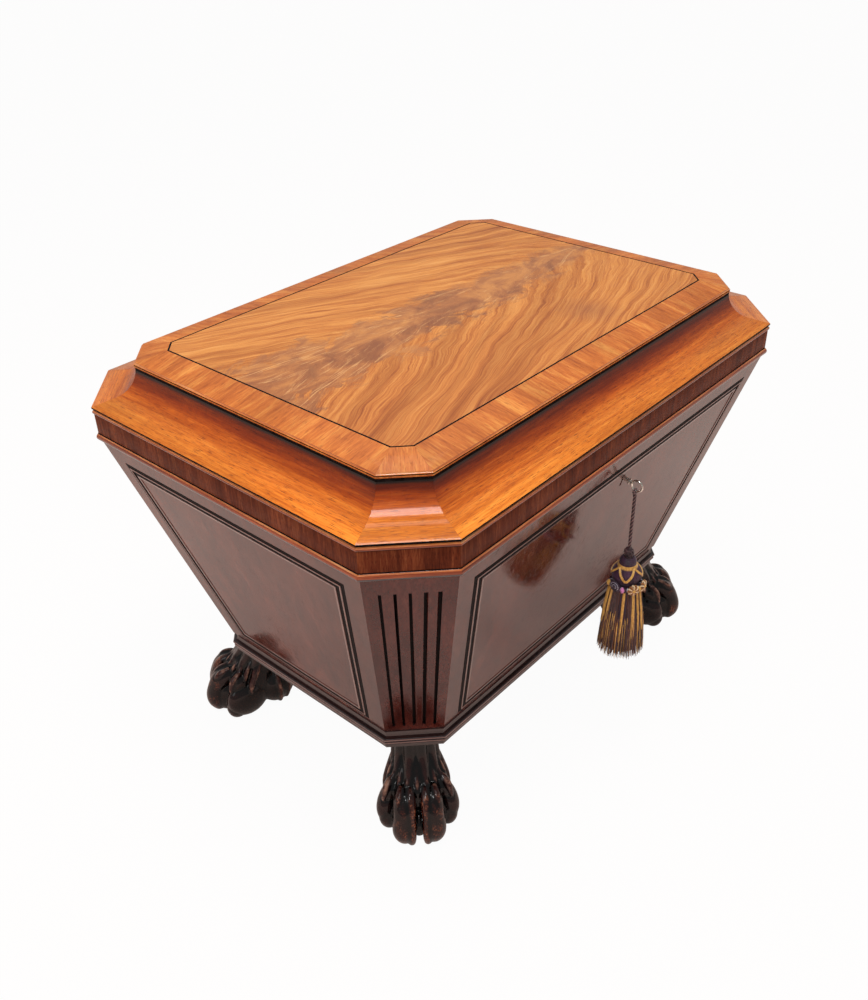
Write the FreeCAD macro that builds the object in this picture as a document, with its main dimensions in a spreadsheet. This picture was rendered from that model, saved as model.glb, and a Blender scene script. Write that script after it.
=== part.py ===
"""Sarcophagus cellarette: a lidded, locking wine chest on four carved paw feet.

Millimetres.  X runs along the long front, the front faces -Y, Z is up.  The origin is on the
floor, under the middle of the chest.  Every outline is a rectangle with its corners cut off
(canted), so most pieces are built on the same eight-sided outline at different insets.
"""
import FreeCAD, Part
import math
import os
import Sketcher

Vector = FreeCAD.Vector

SIZES = [
    # lid outline, over the cavetto lip
    ("lid_length", 760), ("lid_width", 561), ("lid_cant", 68.5),
    # heights, from the floor up
    ("foot_height", 122), ("plinth_height", 31), ("carcase_rise", 311), ("rim_height", 9.6),
    ("plinth_fillet", 7.5), ("plinth_lower_bead", 4.5), ("plinth_upper_bead", 5),
    ("plinth_quirk", 0.5), ("plinth_step", 2), ("plinth_foot_inset", 2.5),
    ("plinth_lower_inset", 0.8), ("plinth_cove_inset", 2.4), ("plinth_cove_radius", 9),
    ("lid_gap", 0.4), ("frieze_height", 24.6), ("bead_height", 5), ("lip_recess", 1.9),
    ("lip_edge", 2), ("cavetto_rise", 37), ("slab_edge", 5), ("crown_rise", 7),
    # insets from the lip, measured square to each side
    ("slab_inset", 51.5), ("crown_inset", 37), ("frieze_inset", 1.5), ("carcase_inset", 3.5),
    ("neck_undercut", 1), ("cavetto_depth", 70), ("lip_slope_run", 24), ("lip_slope_rise", 4.5),
    ("cavetto_radius", 33),
    # boards and rails
    ("board_thickness", 20), ("frieze_thickness", 24), ("rim_width", 24), ("lid_board", 18),
    ("lining_board", 4), ("stringing_width", 2.2), ("stringing_depth", 1.5),
    ("carcase_lean", 86.7), ("cant_foot", 50.3), ("plinth_depth", 12), ("kerf", 0.1),
    # panel mouldings and reeds
    ("frame_margin", 24), ("frame_foot_margin", 7), ("frame_width", 15), ("frame_relief", 3),
    ("reed_margin_top", 16.5), ("reed_margin_foot", 11.7), ("reed_end_top", 27),
    ("reed_end_foot", 10), ("reed_quirk", 3.2), ("reed_depth", 4), ("reed_count", 4),
    # feet
    ("neck_setback", 23), ("neck_radius", 28), ("neck_drop", 26), ("ankle_radius", 38),
    ("ankle_height", 60), ("paw_reach", 26), ("paw_centre", 40), ("paw_radius", 44),
    ("toe_reach", 38), ("toe_length", 20), ("toe_half_width", 13.5), ("toe_half_height", 36),
    ("toe_centre", 34), ("toe_spread", 34), ("heel_reach", 8), ("heel_length", 33),
    ("heel_half_width", 30), ("heel_half_height", 38), ("heel_centre", 34),
    ("foot_dowel", 16), ("dowel_depth", 22),
    # liner and bottle divisions
    ("liner_gap", 1), ("liner_sheet", 1.5), ("liner_drop", 14), ("divider_thickness", 6),
    ("divider_height", 190), ("divider_pitch", 133), ("divider_gap", 0.8), ("halving_gap", 0.1),
    # hinges
    ("hinge_length", 64), ("hinge_spread", 400), ("leaf_depth", 17), ("leaf_thickness", 2),
    ("knuckle_radius", 3.2), ("hinge_pin", 3), ("pin_gap", 0.05), ("knuckle_gap", 0.3),
    ("hinge_stand_off", 0.5), ("screw_head", 6), ("screw_shank", 3), ("screw_length", 8),
    ("screw_head_depth", 1.5),
    # lock: lengths are square to the sloping front or up along it, from the keyhole
    ("keyhole_below_rim", 55.9), ("keyhole_radius", 3.6), ("keyhole_slot", 3.4),
    ("keyhole_drop", 14), ("lock_width", 74), ("lock_drop", 26), ("lock_face", 6),
    ("lock_depth", 13), ("lock_wall", 1.5), ("lock_gap", 0.3), ("bolt_thickness", 3),
    ("bolt_throw", 8), ("bolt_tail", 12), ("bolt_tail_top", 7.5), ("bolt_web", 4.5),
    ("bolt_notch_left", 4), ("bolt_notch_right", 7), ("bolt_arm", 8), ("bolt_bar", 5),
    ("bolt_post", 4), ("bit_clearance", 1.5), ("bar_clearance", 1.5), ("finger_overhang", 1.3),
    ("drill_pin", 2.6), ("selvedge_width", 11), ("selvedge_thickness", 2), ("slot_ease", 1),
    ("selvedge_ends", 8), ("staple_width", 3), ("staple_spread", 36), ("staple_depth", 7),
    ("staple_eye", 4.4), ("staple_wall", 1.3), ("staple_drop", 5.7), ("finger_size", 3),
    ("link_plate_depth", 12), ("link_plate_ends", 12), ("link_plate_thickness", 2),
    # key
    ("key_barrel", 5), ("key_bow_reach", 19.6), ("bow_radius", 6.9), ("bow_wire", 2.4),
    ("bit_length", 11.5), ("bit_width", 3.6), ("bit_thickness", 1.8), ("bit_root", 2.1),
    ("key_collar", 7), ("collar_length", 2), ("collar_setback", 5), ("bore_ease", 2),
    # tassel
    ("loop_radius", 3.5), ("loop_wire", 1.8), ("loop_gap", 0.2), ("cord_diameter", 3.6),
    ("cord_drop", 74.2),
    ("cap_height", 20.3), ("cap_radius", 6.5), ("cap_mouth", 4), ("cap_shoulder", 5),
    ("cap_waist", 5), ("waist_height", 7), ("waist_flare", 9), ("disc_radius", 9.5),
    ("disc_height", 5), ("head_height", 36.5), ("head_radius", 20), ("head_mouth", 11.5),
    ("head_shoulder", 11), ("head_waist", 20), ("neck_radius_tied", 14),
    ("neck_height_tied", 11), ("collar_wire", 7), ("collar_ease", 0.2), ("collar_lift", 1),
    ("rosette_radius", 8), ("rosette_height", 4), ("rosette_lift", 3), ("rosette_ease", 0.3),
    ("skirt_length", 98), ("skirt_shoulder", 6), ("skirt_top", 21), ("skirt_foot", 30),
]

MITRE = "(2 - sqrt(2))"          # growth of a cant's leg when its octagon is inset by 1
TAN_MITRE = "(sqrt(2) - 1)"      # run of a mitre along a side for an inset of 1
SIDES = ["front", "front_right", "right", "back_right", "back", "back_left", "left",
         "front_left"]           # side i runs from corner i to corner i + 1

doc = FreeCAD.newDocument("cellarette")
sheet = doc.addObject("Spreadsheet::Sheet", "Sizes")
for row, (alias, value) in enumerate(SIZES, start=1):
    sheet.set(f"A{row}", alias)
    sheet.set(f"B{row}", str(value))
    sheet.setAlias(f"B{row}", alias)
doc.recompute()

sub_parts = []


def size(alias):
    """A driving dimension as an expression."""
    return f"Sizes.{alias}"


def number(expression):
    """The value of an expression over the sheet's sizes."""
    return float(sheet.evalExpression(str(expression)))


def total(*terms):
    """The sum of named sizes and expressions, as one expression."""
    return "(" + " + ".join(size(t) if t.isidentifier() else t for t in terms) + ")"


def bind(thing, prop, expression):
    """Drive a property from the sheet."""
    thing.setExpression(prop, str(expression))


def keep(thing, label):
    """Name a finished sub-part and list it for export."""
    thing.Label = label
    sub_parts.append(thing)
    return thing


# ---------------------------------------------------------------- levels, from the floor
PLINTH_FOOT = total("foot_height")
CARCASE_FOOT = total("foot_height", "plinth_height")
CARCASE_TOP = total(CARCASE_FOOT, "carcase_rise")
RIM_TOP = total(CARCASE_TOP, "rim_height")
LID_FOOT = total(RIM_TOP, "lid_gap")
KEYHOLE_HEIGHT = total(RIM_TOP, f"-{size('keyhole_below_rim')}")
FRIEZE_TOP = total(LID_FOOT, "frieze_height")
BEAD_TOP = total(FRIEZE_TOP, "bead_height")
LIP_TOP = total(BEAD_TOP, "lip_recess", "lip_edge")
NECK_TOP = total(LIP_TOP, "cavetto_rise")
EDGE_TOP = total(NECK_TOP, "slab_edge")
CROWN_TOP = total(EDGE_TOP, "crown_rise")


# ---------------------------------------------------------------- the canted outline
class Outline:
    """A rectangle with canted corners, held as three expressions."""

    def __init__(self, half_x, half_y, cant):
        self.half_x = half_x
        self.half_y = half_y
        self.cant = cant

    def inset(self, amount):
        """The same outline, each side moved in square to itself."""
        return Outline(f"({self.half_x} - {amount})", f"({self.half_y} - {amount})",
                       f"({self.cant} - {MITRE} * {amount})")

    def corner(self, index):
        """Corner index, counted anticlockwise from the left end of the front side."""
        along_x = f"({self.half_x} - {self.cant})"
        along_y = f"({self.half_y} - {self.cant})"
        spots = [("-", along_x, "-", self.half_y), ("", along_x, "-", self.half_y),
                 ("", self.half_x, "-", along_y), ("", self.half_x, "", along_y),
                 ("", along_x, "", self.half_y), ("-", along_x, "", self.half_y),
                 ("-", self.half_x, "", along_y), ("-", self.half_x, "-", along_y)]
        sign_x, x, sign_y, y = spots[index % 8]
        return f"{sign_x}1 * {x}", f"{sign_y}1 * {y}"

    def corners(self):
        return [self.corner(index) for index in range(8)]

    def run(self, index):
        """Length of the side from corner index to the next corner."""
        if index % 2:
            return f"({self.cant} * sqrt(2))"
        half = self.half_x if index % 4 == 0 else self.half_y
        return f"(2 * ({half} - {self.cant}))"

    def point(self, index, z=0.0):
        """Corner index as a vector."""
        x, y = self.corner(index)
        return Vector(number(x), number(y), z)

    def bisector(self, index):
        """Unit vector from corner index to the inside, along the mitre."""
        here = self.point(index)
        back = (self.point(index - 1) - here).normalize()
        ahead = (self.point(index + 1) - here).normalize()
        return (back + ahead).normalize()


LIP = Outline(f"{size('lid_length')} / 2", f"{size('lid_width')} / 2", size("lid_cant"))
CARCASE_HEAD = LIP.inset(size("carcase_inset"))
CARCASE_BASE = Outline(f"({CARCASE_HEAD.half_x} - {size('carcase_lean')})",
                       f"({CARCASE_HEAD.half_y} - {size('carcase_lean')})", size("cant_foot"))


def carcase_outline(z):
    """The carcase's outer outline at height z, an expression."""
    share = f"(({z}) - {CARCASE_FOOT}) / {size('carcase_rise')}"
    return Outline(f"({CARCASE_BASE.half_x} + {size('carcase_lean')} * {share})",
                   f"({CARCASE_BASE.half_y} + {size('carcase_lean')} * {share})",
                   f"({CARCASE_BASE.cant} + ({CARCASE_HEAD.cant} - {CARCASE_BASE.cant}) * {share})")


# ---------------------------------------------------------------- sketch helpers
def new_body(name):
    return doc.addObject("PartDesign::Body", name)


def origin_plane(body, role):
    return next(o for o in body.Origin.OriginFeatures if o.Role == role)


def new_sketch(body, name, plane="XY_Plane", lift=None):
    """A sketch on one of the body's own planes, lifted off it by an expression."""
    sketch = body.newObject("Sketcher::SketchObject", name)
    sketch.AttachmentSupport = [(origin_plane(body, plane), "")]
    sketch.MapMode = "FlatFace"
    if lift is not None:
        bind(sketch, "AttachmentOffset.Base.z", lift)
    return sketch


def pin_point(sketch, geometry, end, x, y):
    """Tie one end of a sketch edge to a place given by two expressions."""
    for kind, expression in (("DistanceX", x), ("DistanceY", y)):
        index = sketch.addConstraint(
            Sketcher.Constraint(kind, -1, 1, geometry, end, number(expression)))
        bind(sketch, f"Constraints[{index}]", expression)


def outline(sketch, steps):
    """A closed outline.  A step is (x, y), or (x, y, radius, turn) for an arc that ends there.

    turn is +1 for an arc that runs anticlockwise and -1 for one that runs clockwise.
    """
    first = sketch.GeometryCount
    spots = [Vector(number(step[0]), number(step[1]), 0) for step in steps]
    ends = []
    for index, step in enumerate(steps):
        start = spots[index - 1]
        finish = spots[index]
        if len(step) == 2:
            sketch.addGeometry(Part.LineSegment(start, finish))
            ends.append((1, 2))
            continue
        radius, turn = number(step[2]), step[3]
        chord = finish - start
        reach = math.sqrt(max(radius ** 2 - chord.Length ** 2 / 4, 0.0))
        side = Vector(-chord.y, chord.x, 0).normalize() * turn
        centre = start + chord * 0.5 + side * reach
        angles = [math.atan2(p.y - centre.y, p.x - centre.x) for p in (start, finish)]
        if turn < 0:
            angles.reverse()
        round_edge = Part.Circle(centre, Vector(0, 0, 1), radius)
        sketch.addGeometry(Part.ArcOfCircle(round_edge, angles[0], angles[1]))
        ends.append((1, 2) if turn > 0 else (2, 1))
    count = len(steps)
    for index in range(count):
        following = (index + 1) % count
        sketch.addConstraint(Sketcher.Constraint(
            "Coincident", first + index, ends[index][1], first + following, ends[following][0]))
    for index, step in enumerate(steps):
        pin_point(sketch, first + index, ends[index][1], step[0], step[1])
        if len(step) == 4:
            constraint = sketch.addConstraint(
                Sketcher.Constraint("Radius", first + index, number(step[2])))
            bind(sketch, f"Constraints[{constraint}]", step[2])


def circle(sketch, x, y, radius):
    """A circle at a place given by expressions."""
    index = sketch.addGeometry(
        Part.Circle(Vector(number(x), number(y), 0), Vector(0, 0, 1), number(radius)))
    pin_point(sketch, index, 3, x, y)
    constraint = sketch.addConstraint(Sketcher.Constraint("Radius", index, number(radius)))
    bind(sketch, f"Constraints[{constraint}]", radius)


def rectangle(sketch, x0, y0, x1, y1):
    outline(sketch, [(x0, y0), (x1, y0), (x1, y1), (x0, y1)])


def pad(body, sketch, length, name, midplane=False, reverse=False):
    """A pad of a sketch, along its normal."""
    feature = body.newObject("PartDesign::Pad", name)
    feature.Profile = sketch
    feature.Midplane = midplane
    feature.Reversed = reverse
    bind(feature, "Length", length)
    return feature


def pocket(body, sketch, name, length=None, midplane=False, reverse=False):
    """A pocket of a sketch, right through the body where no length is given."""
    doc.recompute()
    before = body.Shape.Volume
    feature = body.newObject("PartDesign::Pocket", name)
    feature.Profile = sketch
    feature.Midplane = midplane
    feature.Reversed = reverse
    if length is None:
        feature.Type = "ThroughAll"
    else:
        bind(feature, "Length", length)
    doc.recompute()
    if body.Shape.Volume >= before - 1e-6:
        raise RuntimeError(f"{body.Name}.{name} cuts nothing")
    return feature


def additive(body, kind, name, place, **lengths):
    """An additive primitive of a body; place and lengths are expressions."""
    feature = body.newObject(f"PartDesign::Additive{kind}", name)
    for axis, expression in zip("xyz", place):
        bind(feature, f"Placement.Base.{axis}", expression)
    for prop, expression in lengths.items():
        bind(feature, prop, expression)
    return feature


def cut(base, tools, label):
    """A finished sub-part: a base with tool solids taken out of it."""
    for index, tool in enumerate(tools):
        feature = doc.addObject("Part::Cut", f"{label}_cut_{index}")
        feature.Base = base
        feature.Tool = tool
        base = feature
    doc.recompute()
    return keep(base, label)


def group(pieces, name):
    """Separate solids held as one object."""
    compound = doc.addObject("Part::Compound", name)
    compound.Links = pieces
    doc.recompute()
    return compound


def face_frame(side):
    """Where a carcase face stands: X along its foot, Y square into it, Z up along the slope."""
    foot = number(CARCASE_FOOT)
    head = number(CARCASE_TOP)
    low = [CARCASE_BASE.point(side, foot), CARCASE_BASE.point(side + 1, foot)]
    high = [CARCASE_HEAD.point(side, head), CARCASE_HEAD.point(side + 1, head)]
    along = (low[1] - low[0]).normalize()
    middle = (low[0] + low[1]) * 0.5
    up = ((high[0] + high[1]) * 0.5 - middle).normalize()
    rotation = FreeCAD.Rotation(along, up.cross(along), up, "ZXY")
    return FreeCAD.Placement(middle, rotation)


# ---------------------------------------------------------------- shared shapes
def octagon_board(name, plan, foot, head):
    """A flat canted board between two heights."""
    body = new_body(name)
    sketch = new_sketch(body, f"{name}_plan", lift=foot)
    outline(sketch, plan.corners())
    pad(body, sketch, f"{head} - {foot}", f"{name}_pad")
    return body


def moulding(name, plan, profile, depth):
    """Eight lengths of one profile round a canted outline, mitred a saw's kerf apart.

    profile holds (inset, height) steps in the outline() form; depth is its deepest inset.
    """
    shortening = f"{size('kerf')} / 2 * sqrt(4 - 2 * sqrt(2))"
    lengths = []
    for index in range(8):
        piece = new_body(f"{name}_{index}")
        x, y = plan.corner(index)
        bind(piece, "Placement.Base.x", x)
        bind(piece, "Placement.Base.y", y)
        piece.Placement.Rotation = FreeCAD.Rotation(Vector(0, 0, 1), 45 * index)
        run = plan.run(index)
        section = new_sketch(piece, f"{name}_{index}_section", plane="YZ_Plane",
                             lift=f"-2 * {depth}")
        outline(section, profile)
        pad(piece, section, f"{run} + 4 * {depth}", f"{name}_{index}_pad")
        saw = new_sketch(piece, f"{name}_{index}_mitres")
        back = f"({depth} + {size('kerf')})"
        for far, sign in (("0", ""), (run, "-")):
            outline(saw, [
                (f"{far} + {sign}1 * ({shortening} - {TAN_MITRE} * {depth})", f"-1 * {depth}"),
                (f"{far} + {sign}1 * ({shortening} + {TAN_MITRE} * {back})", back),
                (f"{far} - {sign}3 * {depth}", back), (f"{far} - {sign}3 * {depth}", f"-1 * {depth}")])
        pocket(piece, saw, f"{name}_{index}_ends", midplane=True)
        lengths.append(piece)
    return group(lengths, name)


def bead(inset, foot, height):
    """Steps of a half-round that stands out from an inset."""
    radius = f"({height}) / 2"
    return [(inset, foot), (f"{inset} - {radius}", f"{foot} + {radius}", radius, -1),
            (inset, f"{foot} + {height}", radius, -1)]


def stave(name, side, head, outside, thickness):
    """One side of a leaning canted box from the carcase's foot up, mitred at both ends.

    outside is how far it stands inside the carcase's outer face.
    """
    body = new_body(name)
    sections = []
    for height, level in ((CARCASE_FOOT, "foot"), (head, "head")):
        sketch = new_sketch(body, f"{name}_{level}", lift=height)
        plan = carcase_outline(height).inset(outside)
        inner = plan.inset(thickness)
        outline(sketch, [plan.corner(side), plan.corner(side + 1),
                         inner.corner(side + 1), inner.corner(side)])
        sections.append(sketch)
    loft = body.newObject("PartDesign::AdditiveLoft", f"{name}_loft")
    loft.Profile = sections[0]
    loft.Sections = [sections[1]]
    loft.Ruled = True
    return body


def on_front(name):
    """A body in the lock's frame: X along, Y square into the front, Z up it, at the keyhole."""
    body = new_body(name)
    frame = face_frame(0)
    climb = number(f"({KEYHOLE_HEIGHT} - {CARCASE_FOOT})") / frame.Rotation.multVec(
        Vector(0, 0, 1)).z
    body.Placement = frame.multiply(FreeCAD.Placement(Vector(0, 0, climb), FreeCAD.Rotation()))
    return body


# ---------------------------------------------------------------- lid
LID_CORE = LIP.inset(size("cavetto_depth"))
CROWN = LIP.inset(total("slab_inset", "crown_inset"))
NECK = total("slab_inset", "neck_undercut")
RECESS = size("lip_recess")


def build_lid():
    """The lid's boards and mouldings, from the frieze up to the crown."""
    frieze_back = total("frieze_inset", "frieze_thickness")
    frieze = moulding("frieze", LIP, [
        (size("frieze_inset"), LID_FOOT), (frieze_back, LID_FOOT),
        (frieze_back, FRIEZE_TOP), (size("frieze_inset"), FRIEZE_TOP)],
        frieze_back)
    radius = f"{size('bead_height')} / 2"
    upper_bead = moulding("upper_bead", LIP, [
        (frieze_back, BEAD_TOP), (frieze_back, FRIEZE_TOP),
        *bead(radius, FRIEZE_TOP, size("bead_height"))],
        frieze_back)
    keep(upper_bead, "lid_upper_bead")
    cavetto = moulding("cavetto", LIP, [
        (size("cavetto_depth"), NECK_TOP), (size("cavetto_depth"), BEAD_TOP),
        (RECESS, BEAD_TOP), (RECESS, total(BEAD_TOP, "lip_recess")),
        ("0", total(BEAD_TOP, "lip_recess")), ("0", LIP_TOP),
        (size("lip_slope_run"), total(LIP_TOP, "lip_slope_rise")),
        (NECK, NECK_TOP, size("cavetto_radius"), 1)],
        size("cavetto_depth"))
    keep(cavetto, "cavetto_moulding")
    keep(octagon_board("core", LID_CORE, total(NECK_TOP, f"-{size('lid_board')}"), NECK_TOP),
         "lid_core_board")
    keep(octagon_board("lining", LIP.inset(frieze_back),
                       total(BEAD_TOP, f"-{size('lining_board')}"), BEAD_TOP),
         "lid_lining_board")
    crown_edge = total("slab_inset", "crown_inset")
    border = moulding("border", LIP, [
        (size("slab_inset"), NECK_TOP), (crown_edge, NECK_TOP),
        (crown_edge, CROWN_TOP), (size("slab_inset"), EDGE_TOP)],
        crown_edge)
    keep(border, "top_crossbanding")
    string_foot = total(CROWN_TOP, f"-{size('stringing_depth')}")
    string_back = size("stringing_width")
    stringing = moulding("stringing", CROWN, [
        ("0", string_foot), (string_back, string_foot), (string_back, CROWN_TOP),
        ("0", CROWN_TOP)], string_back)
    keep(stringing, "ebony_stringing")
    panel = octagon_board("panel", CROWN, NECK_TOP, CROWN_TOP)
    groove = new_sketch(panel, "panel_groove", lift=string_foot)
    outline(groove, CROWN.corners())
    outline(groove, CROWN.inset(string_back).corners())
    pocket(panel, groove, "panel_groove_cut", reverse=True)
    keep(panel, "top_panel")
    return frieze


# ---------------------------------------------------------------- hinges
HINGE_Y = total(f"{size('lid_width')} / 2", f"-{size('carcase_inset')}",
                f"{size('rim_height')} / 2", "hinge_stand_off", "knuckle_radius")
HINGE_Z = total(RIM_TOP, f"{size('lid_gap')} / 2")
LEAF_EDGE = total(HINGE_Y, f"-{size('knuckle_radius')}", f"-{size('knuckle_gap')}")
KNUCKLES = 5


def hinge_leaf(name, x, up, knuckles):
    """A butt hinge leaf let in flush, with its share of the knuckles; up is 1 for the lid."""
    body = new_body(name)
    low = f"{HINGE_Z} + {up} * {size('lid_gap')} / 2"
    plate = new_sketch(body, f"{name}_plate", lift=low)
    half = f"{size('hinge_length')} / 2"
    rectangle(plate, f"{x} - {half}", f"{LEAF_EDGE} - {size('leaf_depth')}",
              f"{x} + {half}", LEAF_EDGE)
    pad(body, plate, size("leaf_thickness"), f"{name}_plate_pad", reverse=up < 0)
    step = f"{size('hinge_length')} / {KNUCKLES}"
    for index in knuckles:
        start = f"({x} - {half} + {index} * {step} + {size('knuckle_gap')} / 2)"
        length = f"{step} - {size('knuckle_gap')}"
        tab = new_sketch(body, f"{name}_tab_{index}", lift=low)
        rectangle(tab, start, f"{LEAF_EDGE} - 1", f"{start} + {length}", HINGE_Y)
        pad(body, tab, size("leaf_thickness"), f"{name}_tab_{index}_pad", reverse=up < 0)
        roll = new_sketch(body, f"{name}_roll_{index}", plane="YZ_Plane", lift=start)
        circle(roll, HINGE_Y, HINGE_Z, size("knuckle_radius"))
        pad(body, roll, length, f"{name}_roll_{index}_pad")
    bore = new_sketch(body, f"{name}_bore", plane="YZ_Plane")
    circle(bore, HINGE_Y, HINGE_Z, f"{size('hinge_pin')} / 2 + {size('pin_gap')}")
    pocket(body, bore, f"{name}_bore_cut", midplane=True)
    return body


def leaf_recess(name, x, up):
    """The shallow housing that a leaf is let into."""
    box = doc.addObject("Part::Box", name)
    bind(box, "Length", size("hinge_length"))
    bind(box, "Width", f"{size('leaf_depth')} + 2 * {size('knuckle_radius')}")
    bind(box, "Height", size("leaf_thickness"))
    bind(box, "Placement.Base.x", f"{x} - {size('hinge_length')} / 2")
    bind(box, "Placement.Base.y", f"{LEAF_EDGE} - {size('leaf_depth')}")
    foot = f"{HINGE_Z} + {up} * {size('lid_gap')} / 2"
    if up < 0:
        foot = f"{foot} - {size('leaf_thickness')}"
    bind(box, "Placement.Base.z", foot)
    return box


def wood_screw(name, x, y, z, up):
    """A countersunk screw whose head is flush at z; it is driven along up."""
    head = doc.addObject("Part::Cone", f"{name}_head")
    shank = doc.addObject("Part::Cylinder", f"{name}_shank")
    bind(head, "Height", size("screw_head_depth"))
    bind(head, "Radius1", f"{size('screw_head')} / 2")
    bind(head, "Radius2", f"{size('screw_shank')} / 2")
    bind(shank, "Height", size("screw_length"))
    bind(shank, "Radius", f"{size('screw_shank')} / 2")
    for piece in (head, shank):
        if up < 0:
            piece.Placement.Rotation = FreeCAD.Rotation(Vector(1, 0, 0), 180)
        for axis, expression in zip("xyz", (x, y, z)):
            bind(piece, f"Placement.Base.{axis}", expression)
    screw = doc.addObject("Part::Fuse", name)
    screw.Base = head
    screw.Tool = shank
    return screw


def hinge_screws(name, up):
    """The screws of both leaves on one side of the joint."""
    y = f"{LEAF_EDGE} - {size('leaf_depth')} / 2"
    z = f"{HINGE_Z} + {up} * {size('lid_gap')} / 2"
    screws = []
    for hand in (-1, 1):
        for place in (-1, 0, 1):
            x = (f"{hand} * {size('hinge_spread')} / 2"
                 f" + {place} * ({size('hinge_length')} / 2 - {size('screw_head')})")
            screws.append(wood_screw(f"{name}_{hand + 1}_{place + 1}", x, y, z, up))
    return group(screws, name)


def build_hinges():
    """Both butt hinges; returns what the rim and the frieze are cut by."""
    tools = {}
    for up, owner in ((-1, "carcase"), (1, "lid")):
        screws = hinge_screws(f"{owner}_screws", up)
        keep(screws, f"hinge_screws_{owner}")
        tools[owner] = [screws]
        for hand, side in ((-1, "left"), (1, "right")):
            x = f"({hand} * {size('hinge_spread')} / 2)"
            knuckles = (1, 3) if up > 0 else (0, 2, 4)
            leaf = hinge_leaf(f"{owner}_leaf_{side}", x, up, knuckles)
            cut(leaf, [screws], f"hinge_leaf_{owner}_{side}")
            tools[owner].append(leaf_recess(f"{owner}_recess_{side}", x, up))
    for hand, side in ((-1, "left"), (1, "right")):
        pin = doc.addObject("Part::Cylinder", f"pin_{side}")
        bind(pin, "Radius", f"{size('hinge_pin')} / 2")
        bind(pin, "Height", size("hinge_length"))
        pin.Placement.Rotation = FreeCAD.Rotation(Vector(0, 1, 0), 90)
        bind(pin, "Placement.Base.x", f"{hand} * {size('hinge_spread')} / 2"
                                      f" - {size('hinge_length')} / 2")
        bind(pin, "Placement.Base.y", HINGE_Y)
        bind(pin, "Placement.Base.z", HINGE_Z)
        keep(pin, f"hinge_pin_{side}")
    return tools


# ---------------------------------------------------------------- lock, in its own leaning frame
SLOPE = f"sqrt({size('carcase_rise')}^2 + {size('carcase_lean')}^2)"
COS = f"({size('carcase_rise')} / {SLOPE})"
SIN = f"({size('carcase_lean')} / {SLOPE})"
LOCK_BACK = total("lock_face", "lock_depth")
BACK_PLATE = total(LOCK_BACK, f"-{size('lock_wall')}")
CAP_BACK = total("lock_face", "lock_wall")
BOLT_MIDDLE = f"(({CAP_BACK} + {BACK_PLATE}) / 2)"
BOLT_BACK = total(BOLT_MIDDLE, f"{size('bolt_thickness')} / 2")
SELVEDGE_FOOT = total(RIM_TOP, f"-{size('selvedge_thickness')}")


def level(height, y):
    """How far up the front's slope a horizontal plane cuts, at depth y into it."""
    return f"(({height} - {KEYHOLE_HEIGHT} - ({y}) * {SIN}) / {COS})"


STAPLE_Z = total(LID_FOOT, f"-{size('staple_drop')}")
FINGER_HEIGHT = level(STAPLE_Z, BOLT_MIDDLE)
KEYHOLE_Y = f"(-1 * {carcase_outline(KEYHOLE_HEIGHT).half_y})"
STAPLE_Y = f"({KEYHOLE_Y} + {BOLT_MIDDLE} * {COS} - {FINGER_HEIGHT} * {SIN})"


def slanted_block(body, name, front, back, foot, head, width):
    """A block across the lock whose top is level; front and back are depths."""
    sketch = new_sketch(body, f"{name}_side", plane="YZ_Plane")
    outline(sketch, [(front, foot), (back, foot), (back, level(head, back)),
                     (front, level(head, front))])
    pad(body, sketch, width, f"{name}_pad", midplane=True)


def keyhole(body, name, depth):
    """A keyhole-shaped pad from a depth behind the front out through it."""
    across = f"{size('keyhole_slot')} / 2"
    hole = new_sketch(body, f"{name}_hole", plane="XZ_Plane", lift=f"-1 * {depth}")
    circle(hole, "0", "0", size("keyhole_radius"))
    pad(body, hole, f"{depth} + {size('lock_face')}", f"{name}_hole_pad")
    slot = new_sketch(body, f"{name}_slot", plane="XZ_Plane", lift=f"-1 * {depth}")
    rectangle(slot, f"-1 * {across}", f"-1 * {size('keyhole_drop')}", across, "0")
    pad(body, slot, f"{depth} + {size('lock_face')}", f"{name}_slot_pad")


def bolt_outline():
    """The bolt seen from the front: a tail with the key's notch, an arm, and two hooks."""
    finger = f"{size('finger_size')} / 2"
    low = f"{FINGER_HEIGHT} - {finger}"
    high = f"{FINGER_HEIGHT} + {finger}"
    bar_top = (f"{FINGER_HEIGHT} - {size('staple_eye')} / 2"
               f" - {size('staple_wall')} - {size('bar_clearance')}")
    bar_foot = f"{bar_top} - {size('bolt_bar')}"
    tail_end = f"-1 * {size('bolt_tail')}"
    tail_top = f"-1 * {size('bolt_tail_top')}"
    notch_foot = f"-1 * {size('bit_length')} - {size('bit_clearance')}"
    tail_foot = f"{notch_foot} - {size('bolt_web')}"
    notch_left = f"-1 * {size('bolt_notch_left')}"
    arm_in = f"{size('bit_length')} + {size('bolt_web')}"
    arm_out = f"{arm_in} + {size('bolt_arm')}"
    hooks = []
    for hand in (1, -1):
        staple = f"{hand} * {size('staple_spread')} / 2 - {size('staple_width')} / 2"
        tip = f"{staple} - {size('finger_overhang')}"
        post = f"{staple} - {size('lock_gap')} - {size('bolt_throw')}"
        back = f"{post} - {size('bolt_post')}"
        hooks.append([(post, bar_top), (post, low), (tip, low), (tip, high),
                      (back, high), (back, bar_top)])
    right, left = hooks
    left_edge = left[-1][0]
    notch_right = size("bolt_notch_right")
    return [(tail_end, tail_foot), (arm_out, tail_foot), (arm_out, bar_top), *right, *left[:-1],
            (left_edge, bar_foot), (arm_in, bar_foot), (arm_in, tail_top),
            (notch_right, tail_top), (notch_right, notch_foot), (notch_left, notch_foot),
            (notch_left, tail_top), (tail_end, tail_top)]


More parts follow.
